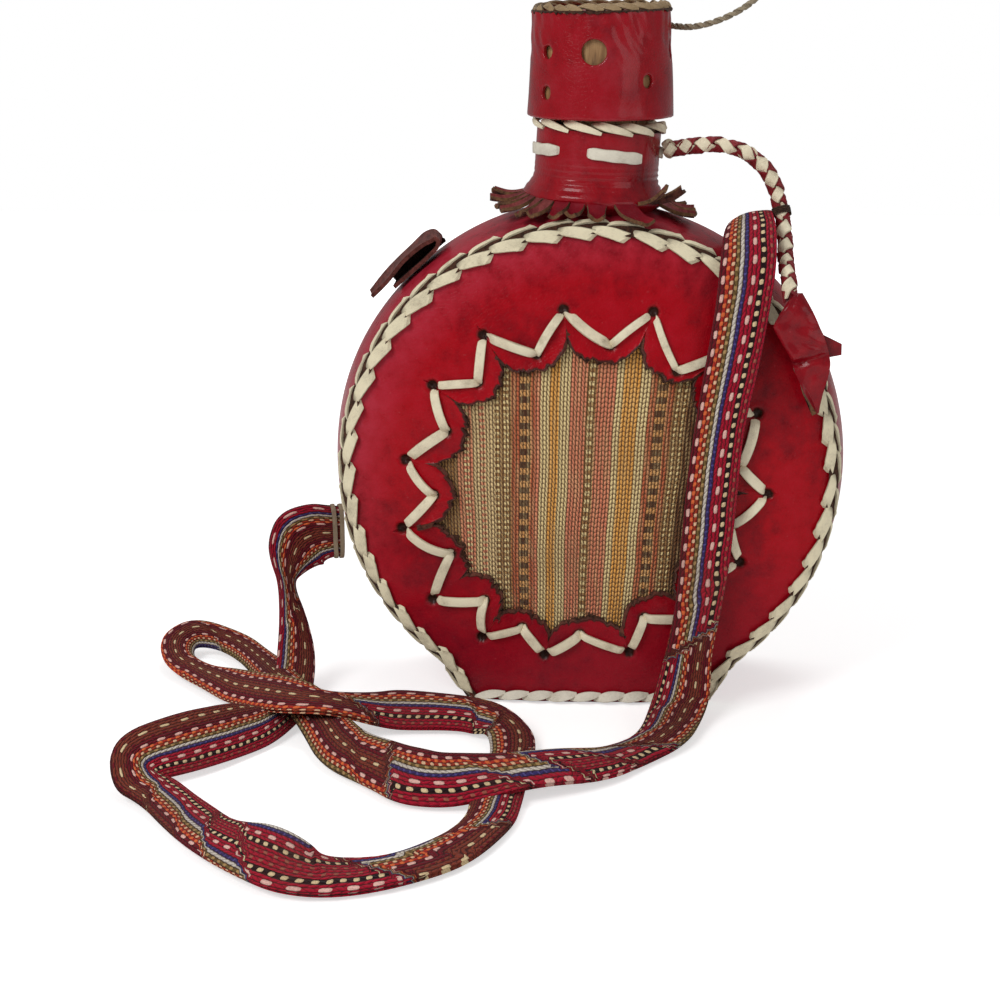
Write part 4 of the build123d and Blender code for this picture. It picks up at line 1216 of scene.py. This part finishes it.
# %% Fringe strips
# Turn round the neck from the right, length, width, rise at the tip, curl upwards, twist and sideways bend
fringe = [
    (-178, 11.5, 4.0, -2.2, 1.4, 10, 1.5), (-168, 12.5, 3.2, -4.2, 1.2, -25, -1.5),
    (-158, 12.5, 3.6, -5.6, 0.9, 20, 1.0), (-148, 12.5, 3.2, -6.4, 0.9, -18, -1.5),
    (-138, 11.5, 3.4, -6.6, 0.8, 25, 0.8), (-128, 10, 3.8, -6.2, 0.6, -22, -0.8),
    (-116, 9.0, 5.2, -5.6, 0.5, 14, 0.8), (-103, 7.8, 4.4, -5.0, 0.8, -14, -0.8),
    (-88, 7.0, 6.0, -5.2, 0.2, 0, 0.0), (-66, 13.5, 7.2, -5.4, 0.4, 14, 3.2),
    (-49, 9.5, 4.2, 2.4, 2.6, 50, 1.5), (-36, 11.0, 4.6, 2.4, 2.4, -35, 2.0),
    (-20, 12.5, 4.4, -4.4, 0.6, 12, 1.0), (-7, 12, 4.2, -4.8, 0.8, -14, -1.0), (8, 12, 4.2, -4.6, 0.8, 18, 1.0),
    (22, 11, 4.8, -4.4, 1.0, -18, 1.5), (36, 10, 5.2, -4.4, 0.6, -10, -1.0), (51, 9, 5.0, -4.0, 1.2, 12, 1.0),
    (66, 8, 5.6, -4.2, 0.4, -18, 0.0), (84, 7.5, 5.8, -4.2, 0.6, 8, 1.0), (102, 8, 5.2, -4.0, 1.2, -12, -1.0),
    (120, 9, 5.4, -4.2, 0.5, 16, 1.0), (137, 11, 4.6, -4.4, 0.8, -22, -1.0), (153, 12, 4.8, -4.2, 1.0, 10, 1.0),
    (168, 12, 4.4, -3.4, 1.4, -18, 1.0),
]


def fringe_sheet(turn, length, width, rise, curl, twist, bend):
    """One curled strip: a flat grid bent outwards from the foot of the sleeve."""
    piece, u, v = flat_grid("strip", 5, 9)
    start, roll = radians(turn), radians(twist) * v
    side = (u - 0.5) * width * (1 - 0.45 * v**2.2) * (1 + 0.05 * np.sin(11 * v + turn))
    outward, swing = 22.0 + length * v, bend * v**2 + side * np.cos(roll)
    height = 17.6 + rise * v**1.3 + curl * v**3 - 1.2 * np.sin(pi * v) * (rise < 0)
    height = height + side * np.sin(roll) + 0.9 * (2 * u - 1) ** 2 * v
    places = leaning(outward * cos(start) - swing * sin(start), outward * sin(start) + swing * cos(start), height)
    # No strip sinks into the side leather below it
    x, y, z = places.T
    low = np.maximum(SEAM + side_rise(y) + 0.6 - np.hypot(x, z - CENTRE), 0)
    places[:, 2] += low * (np.abs(y) < SEAM_DEPTH)
    move_points(piece, places)
    face_out(piece, UP)
    thicken(piece, 1.2, [worn_sheen_crimson if -120 < turn < -60 else rose_brown, suede, tan_edge])
    return piece


fringes = join_up("neck_fringe", [fringe_sheet(*strip) for strip in fringe])
dress(fringes, "red_leather", "neck_sleeve")

# %% Running lace and rim lace
runs = []
for middle, sweep, slant in [(-73, 27, -0.7), (-154, 27, 0.5), (118, 27, 0.4), (22, 27, -0.4)]:
    share = np.linspace(-1, 1, 21)
    turn = middle + sweep * share
    radius = 21.0 - 1.6 * smooth_step(0.9, 1, np.abs(share))
    width = 3.9 * (1 - np.abs(share) ** 9 * 0.45) * (1 + 0.05 * np.sin(9 * share + middle))
    runs.append((on_neck(radius, turn, 31.7 + slant * share), neck_look(turn), width, 1.0))
strips("running_lace", runs, bright_rawhide, "rawhide_lace", "neck_running_lace", around=10)

runs = []
count = 12
share = np.linspace(0, 1, 17)
# Distance from the axis, turn and height along one whipped stitch
keys = [(16.8, 0, 40.6), (18.8, 2, 41.5), (20.9, 7, 41.3), (21.6, 14, 40.8), (21.7, 27, 39.8), (20.7, 38, 38.6)]
radius, swept, height = eased(keys, share).T
for n in range(count):
    turn = -128 + 360 * n / count + swept + hand.normal(0, 1.0)
    look = neck_look(turn, np.interp(share, [0, 0.3, 0.6, 1], [6, 1.5, 0.1, 0]))
    width = 2.9 * (0.4 + 0.6 * hump(share) ** 0.8)
    runs.append((on_neck(radius, turn, height), look, width, 0.9))
strips("rim_lace", runs, rawhide, "rawhide_lace", "neck_rim_lacing")

# %% [markdown]
# ## The stopper
# The cap is a cork plug glued in a turned wooden block that is covered in leather. Round holes punched in
# the leather show the wood. The leather's wall starts as a copy of the solid, remeshed and smoothed so
# that its edges and holes are soft, and then pushed in and out a little. Plug and block stay as
# they are, with better materials.
# %% Cap's place
CAP_LOW, CAP_TOP = (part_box("cap_wall")[n].z / MM for n in (0, 1))
cap_middle = np.array([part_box("cap_top_disc")[0].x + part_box("cap_top_disc")[1].x, 0, 0]) / 2 / MM


def cap_lift(turn, inner=1.0):
    """How far the drawn top edge stands above the solid's: a little lower on the left."""
    return 1.9 + 0.4 * np.cos(turn) * inner


def on_cap(radius, turn, height):
    """A point round the cap's upright middle line."""
    return columns(cap_middle[0] + radius * np.cos(turn), radius * np.sin(turn), height)


print("cap from", round(CAP_LOW, 1), "to", round(CAP_TOP, 1), "mm")

# %% Cap leather
source = frame["nodes"]["cap_wall"]
cap = source.copy()
cap.data = source.data.copy()
cap.parent = None
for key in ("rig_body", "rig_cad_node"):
    del cap[key]
bpy.context.collection.objects.link(cap)
cap.name = cap.data.name = "cap_leather"
edit(cap, lambda: merge(0.001))
cap.data.materials.clear()

# One hole was marked but never punched: a small disc of leather closes it
hole_turn = radians(-49)
spot = on_cap(21.75, hole_turn, CAP_LOW + 25.0) * MM
bpy.ops.object.select_all(action="DESELECT")
bpy.ops.mesh.primitive_cylinder_add(vertices=48, radius=2.5 * MM, depth=1.5 * MM, location=spot,
                                    rotation=(0, pi / 2, hole_turn))
bpy.ops.object.transform_apply(location=True, rotation=True, scale=True)
cap = join_up("cap_leather", [cap, bpy.context.object])
modify(cap, "REMESH", mode="VOXEL", voxel_size=0.45 * MM)
modify(cap, "SMOOTH", factor=0.5, iterations=6)
places = points_of(cap) / MM
away = unit((places - cap_middle) * (1, 1, 0))
turn = np.arctan2(away[:, 1], away[:, 0])
tall = places[:, 2] - CAP_LOW
dent = 0.22 * np.sin(3 * turn + 0.7) * np.sin(tall / 7) + 0.14 * np.sin(7 * turn) * np.cos(tall / 4)
pucker = np.sin(26 * turn + 2 * np.sin(3 * turn)) * smooth_step(19, 30, tall)
dent = dent + 0.13 * pucker + 0.07 * np.sin(tall * 0.9 + 23 * turn + 2 * np.sin(5 * turn)) * smooth_step(15, 24, tall)
places = places + away * dent[:, None]
places[:, 2] += cap_lift(turn) * smooth_step(25.5, 32, tall)
move_points(cap, places)
bpy.ops.object.shade_smooth()
cap.data.materials.append(cap_crimson)
dress(cap, "red_leather", "cap_wall", body="stopper")

# %% Cap's top
lid, u, v = flat_grid("cap_lid_leather", 120, 16)
turn = 2 * pi * u
crown = 0.7 * (1 - v**2) + 0.14 * np.sin(24 * turn) * v**6 + 0.12 * np.sin(3 * turn + 1) * v**2 * (1 - v)
move_points(lid, on_cap(21.3 * v, turn, CAP_TOP + cap_lift(turn, v) - 0.5 + crown))
sheet(lid, UP, 1.6, [cap_crimson, suede], "red_leather", "cap_top_disc", body="stopper")

# %% Whipped braid on the cap
runs = []
count = 24
share = np.linspace(0, 1, 13)
# Distance from the middle, turn and height along one stitch
keys = [(18.4, 0, -0.2), (19.6, 8, 1.0), (20.9, 16, 1.2), (21.9, 24, 0.6), (22.2, 30, -0.4)]
radius, swept, height = eased(keys, share).T
for n in range(count):
    turn = np.radians(360 * n / count + swept + hand.normal(0, 1.5))
    line = on_cap(radius, turn, CAP_TOP + cap_lift(turn) + height + 0.2 * hand.normal())
    look = columns(np.cos(turn) * (share + 0.1), np.sin(turn) * (share + 0.1), 1.2 - share)
    runs.append((line, look, 2.6 * (0.6 + 0.4 * hump(share)), 0.8))
strips("cap_braid", runs, brown_lace, "rawhide_lace", "cap_top_lacing", body="stopper")

# %% Ragged edge under the cap's braid, darkened as painted shadow
edge_and_shadow, u, v = flat_grid("cap_edge_and_shadow", 180, 3)
turn = 2 * pi * u
teeth = 0.3 + 0.9 * hand.random(181) ** 2
teeth[-1] = teeth[0]
drop = v * teeth[cells(u, 180)]
move_points(edge_and_shadow, on_cap(22.55 + 0.35 * v, turn, CAP_TOP + cap_lift(turn) - 0.1 - drop))
# The dark frayed finish stands for the leather's ragged top edge and for a painted shadow under the braid's stitches
sheet(edge_and_shadow, lambda centres: (centres - cap_middle) * (1, 1, 0), 0.35, [frayed], "red_leather", body="stopper")

# %% [markdown]
# ## Keepers
# Two folded strips of leather stand on the shoulders. The left one is doubled back over itself, and shows
# its brown flesh side and a dark hollow, painted in shade by near-black inner faces and a near-black sheet. The right
# one hangs over the end of the braid as a tongue, wide under its fold and pointed at its end, with a tail sticking
# out behind it.
# %% Left keeper
DEPTH_Y = -6.0
turn = radians(131)
reach = SEAM + float(side_rise(DEPTH_Y)) + 0.1
origin = np.array([reach * cos(turn), DEPTH_Y, CENTRE + reach * sin(turn)])
forward, outward = np.array([sin(turn), 0, -cos(turn)]), np.array([cos(turn), 0, sin(turn)])
keeper, u, v = flat_grid("left_keeper_leather", 12, 48)
# Distances forward and outward along the folded strip
keys = [(-10.5, 0.2), (-4, 0.3), (4, 0.4), (9.0, 0.8), (11.2, 2.4), (10.8, 5.3), (6.5, 6.5), (-3, 6.1), (-11.5, 4.8),
        (-19, 3.9)]
bent = eased(keys, v)
wide = 14.0 * (1 - 0.6 * smooth_step(0.70, 1.0, v)) * (1 - 0.10 * np.sin(pi * v))
side = (u - 0.5) * wide
upper = smooth_step(0.42, 0.62, v)
tilt = (0.5 - u) * 1.6 * upper + 0.5 * (2 * u - 1) ** 2 * smooth_step(0.5, 0.9, v)
tilt = tilt + 0.25 * np.sin(23 * v + 3 * u) * upper
places = origin + forward * bent[:, :1] + outward * (bent[:, 1:] + tilt[:, None])
places = places + np.array([0, -1, 0]) * (side + 0.6 * np.sin(6 * v))[:, None]
move_points(keeper, places)
face_out(keeper, lambda centres: centres - (origin + outward * 2.9 + forward * 2.0))
thicken(keeper, 1.3, [fuzzy_brown, shadow_suede], rim=0)
close_up(keeper, fill=False)
# A near-black sheet at the back closes the hollow between the two layers, as painted shade inside the loop
inside, u, v = flat_grid("keeper_shade_sheet", 4, 20)
reach = -10.5 + 21.3 * v
roof = np.interp(reach, [-10.5, -3, 6.5, 10, 10.8], [4.4, 5.8, 6.2, 5.2, 3.0])
places = origin + forward * reach[:, None] + outward * (0.4 + (roof - 0.4) * u)[:, None]
places[:, 1] += 5.2 - 1.0 * np.sin(pi * u)
move_points(inside, places)
face_out(inside, FRONT)
thicken(inside, 1.2, [shadow_suede])
keeper = join_up("left_keeper_leather", [keeper, inside])
dress(keeper, "red_leather", "left_keeper")

# %% Right keeper
# Rows of the tongue from its fold to its tip: height, left edge, right edge
tongue_rows = [
    (140.2, 64.6, 67.4), (137.8, 62.6, 69.0), (134.6, 60.4, 71.0), (131.2, 58.6, 72.8), (129.4, 58.0, 73.6),
    (126.6, 59.4, 75.0), (123.4, 61.4, 76.0), (120.4, 63.2, 76.9), (117.4, 64.6, 77.3), (114.6, 65.4, 77.0),
    (111.6, 66.8, 76.2), (108.0, 68.4, 75.1), (104.4, 70.6, 74.2), (101.2, 72.6, 73.6),
]
tongue, u, v = flat_grid("right_keeper_leather", 22, 60)
height, left_edge, right_edge = eased(tongue_rows, v).T
x = left_edge + (right_edge - left_edge) * u
z = height + 0.8 * (2 * u - 1) ** 2 * (v - 0.3)
fold = 1 - smooth_step(0.50, 0.60, v + 0.10 * (u - 0.5))
# Open fault: at the right edge, u = 1, the sine is a hair below 0, so its power has no value there
crest = 2.6 * hump(u) ** 0.6 * fold + 1.2 * hump(u) * (1 - fold) * (1 - v)
crease = 1.3 * np.exp(-(((v + 0.10 * (u - 0.5) - 0.58) / 0.028) ** 2)) * (1 - 0.4 * u)
crease = crease + 0.7 * np.exp(-(((v - 0.36 - 0.14 * u) / 0.022) ** 2)) * smooth_step(0.2, 0.8, u)
curl = 1.6 * smooth_step(0.35, 0.0, u) * smooth_step(0.62, 0.95, v)
wrinkle = 0.22 * np.sin(31 * v + 4 * u) * np.sin(9 * u + 3) * np.sin(pi * v)
y = -36.0 - crest + crease - curl - wrinkle - 1.5 * smooth_step(0.3, 0.0, u) * fold
move_points(tongue, columns(x, y + 2.8 * (1 - smooth_step(0, 0.14, v)), z))
face_out(tongue, FRONT)
thicken(tongue, 1.5, [keeper_crimson, shadow_suede, tan_edge])
tail, u, v = flat_grid("keeper_tail", 8, 12)
z = 123.5 - 1.0 * v - (u - 0.5) * (13 - 11.5 * v) - 2.0 * v * u
move_points(tail, columns(66 + 14.5 * v, -33.4 + 1.5 * v + 0.5 * np.sin(5 * v), z))
face_out(tail, FRONT)
thicken(tail, 1.5, [keeper_crimson, shadow_suede, tan_edge], rim=1)
tongue = join_up("right_keeper_leather", [tongue, tail])
dress(tongue, "red_leather", "right_keeper")

# %% [markdown]
# ## The braid and the tether
# The braid from the neck to the right keeper is a round braid of four flat laces, two cream and two red.
# Two run clockwise round the line and two the other way, and each rises over one and dips under the next.
# The tether is a thin cord of two twisted yarns that ties the cap to the neck.
# %% Braid
def frames_along(line):
    """Two directions square to a line at each of its points, carried along it without twist."""
    forward = unit(np.gradient(line, axis=0))
    first = unit(np.cross(forward[0], (0.1, 0.2, 1.0)))
    carried = []
    for way in forward:
        first = unit(first - way * (first @ way))
        carried.append(first)
    carried = np.array(carried)
    return carried, np.cross(forward, carried)


def evenly(line, step):
    """The same line, with points at an even spacing."""
    run = length_along(line)
    spots = np.linspace(0, run[-1], int(run[-1] / step) + 1)
    return columns(*(np.interp(spots, run, axis) for axis in line.T)), spots


def turned(first, second, turn):
    """Directions between two others, turned about the line that both are square to."""
    return first * np.cos(turn)[:, None] + second * np.sin(turn)[:, None]


braid_route = [
    (25.4, -2, 182.2), (34, -3, 183.6), (44, -5, 183.8), (52, -6, 181), (57.8, -6.6, 174.8),
    (61.2, -7.6, 167), (62.6, -11, 158.4), (62.8, -19, 150.4), (62.8, -29, 144.6), (63.6, -34, 138.6),
]
braid_line = spline_line(braid_route, 12)
fine_line, spots = evenly(braid_line, 0.6)
first, second = frames_along(fine_line)
laces = {}
for way in (1, -1):
    for half in (0, 1):
        wind = 2 * pi * (spots + 0.9 * np.sin(spots / 6.0)) / 12.5
        turn = way * wind + half * pi
        radius = 1.65 + way * 0.42 * np.cos(2 * wind) + 0.25 * np.sin(spots / 5 + 2 * half + way)
        look = turned(first, second, turn)
        width = 3.7 + 0.4 * np.sin(spots / 4.3 + half)
        laces.setdefault(way, []).append((fine_line + look * radius[:, None], look, width, 1.1))
laces[-1].append((fine_line, first, 2.3, 2.3))
cream_braid = strips("cream_braid", laces[1], rawhide, "leather_braid", "neck_braid")
red_braid = strips("red_braid", laces[-1], red_lace, "leather_braid")

# %% Tether
tether_route = [
    (23.5, 12.2, 221.5), (30, 8, 220.4), (38, 4, 222), (46, 2, 225.4), (53, 3, 230), (57, 9, 236),
    (54, 19, 241), (45, 29, 243), (33, 34, 243.5), (20, 34, 239), (12, 31.5, 226), (13, 28.5, 206),
    (11.5, 26, 194.5), (10.2, 21.2, 183.2),
]
tether_line = spline_line(tether_route, 12)
fine_line, spots = evenly(tether_line, 0.5)
first, second = frames_along(fine_line)
runs = []
for half in (0, 1):
    look = turned(first, second, 2 * pi * spots / 7.0 + half * pi)
    runs.append((fine_line + look * 0.5, look, 1.35 + 0.15 * np.sin(spots / 5 + half), 1.0))
tether = strips("tether_cord", runs, grey_cord, "thin_cord", "cap_tether", body=None)
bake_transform(tether)

# %% [markdown]
# ## Knots and ties
# Each knot is a real overhand loop: a strip that follows a three-lobed line. A dark thread is wound round
# the braid where the strap is tied to it, and a pale lace holds the strap's other end at the left side.
# %% Knots
def knot(name, middle, size, width, lean, look, slot, node_name):
    """A small knot whose lace goes over and under itself."""
    t = np.linspace(0, 2 * pi, 60)
    x, y, z = np.sin(t) + 2 * np.sin(2 * t), np.cos(t) - 2 * np.cos(2 * t), -1.1 * np.sin(3 * t)
    loop = columns(z * cos(lean) - x * sin(lean), y, z * sin(lean) + x * cos(lean)) / 3 * size
    strips(name, [(middle + loop, unit(loop), width, width * 0.55)], look, slot, node_name)


knot("braid_end_knot", (25.2, -2, 182.2), 2.6, 2.4, 0.2, rawhide, "leather_braid", "braid_knot")
knot("tether_end_knot", (10.2, 20.9, 183.2), 1.9, 1.3, 1.2, grey_cord, "thin_cord", "tether_knot")


# %% Thread tie
def winding(middle, way, radius, turns, pitch, points):
    """A line wound round a middle line, in a few close turns, and the way that it looks."""
    way = unit(way)
    first = unit(np.cross(way, (0.3, 1.0, 0.2)))
    t = np.linspace(0, 2 * pi * turns, points)
    look = turned(first, np.cross(way, first), t)
    return middle + look * radius + way * ((t / (2 * pi) - turns / 2) * pitch)[:, None], look


low, high = np.array(braid_route[5:7])
line, look = winding((low + high) / 2, high - low, 2.9, 4, 0.6, 100)
strips("thread_tie", [(line, look, 0.6, 0.5)], thread, "dark_thread", "braid_tie", around=6)

# %% Lace at the strap's end
end = middle_line[-1]
way = unit(end - middle_line[-6])
across_way = unit(a_line[-2] - b_line[-2])
flat_way = unit(np.cross(across_way, way))
t = np.linspace(0, 2 * pi, 41)
ring = across_way * (squared(np.cos(t), 0.5) * 9.2)[:, None] + flat_way * (squared(np.sin(t), 0.5) * 2.3)[:, None]
runs = [(end - way * (1.2 + 2.2 * n) + ring + way * (0.5 * np.sin(t + n))[:, None], unit(ring), 1.6, 0.9)
        for n in (0, 1)]
strips("strap_end_lace", runs, grey_cord, "rawhide_lace", "strap_lace_left")

# %% [markdown]
# ## The solids that stay
# The hard gourd, the flat base, the wooden block and the cork have the right shape as they are, so they only
# get their materials.
# %% Materials for the solids
for name, look in [("gourd_flask", gourd), ("base_panel", crimson), ("cap_core", wood), ("cork_plug", cork)]:
    solid = frame["nodes"][name]
    solid.data.materials.clear()
    solid.data.materials.append(look)
    print(name, "keeps its shape")
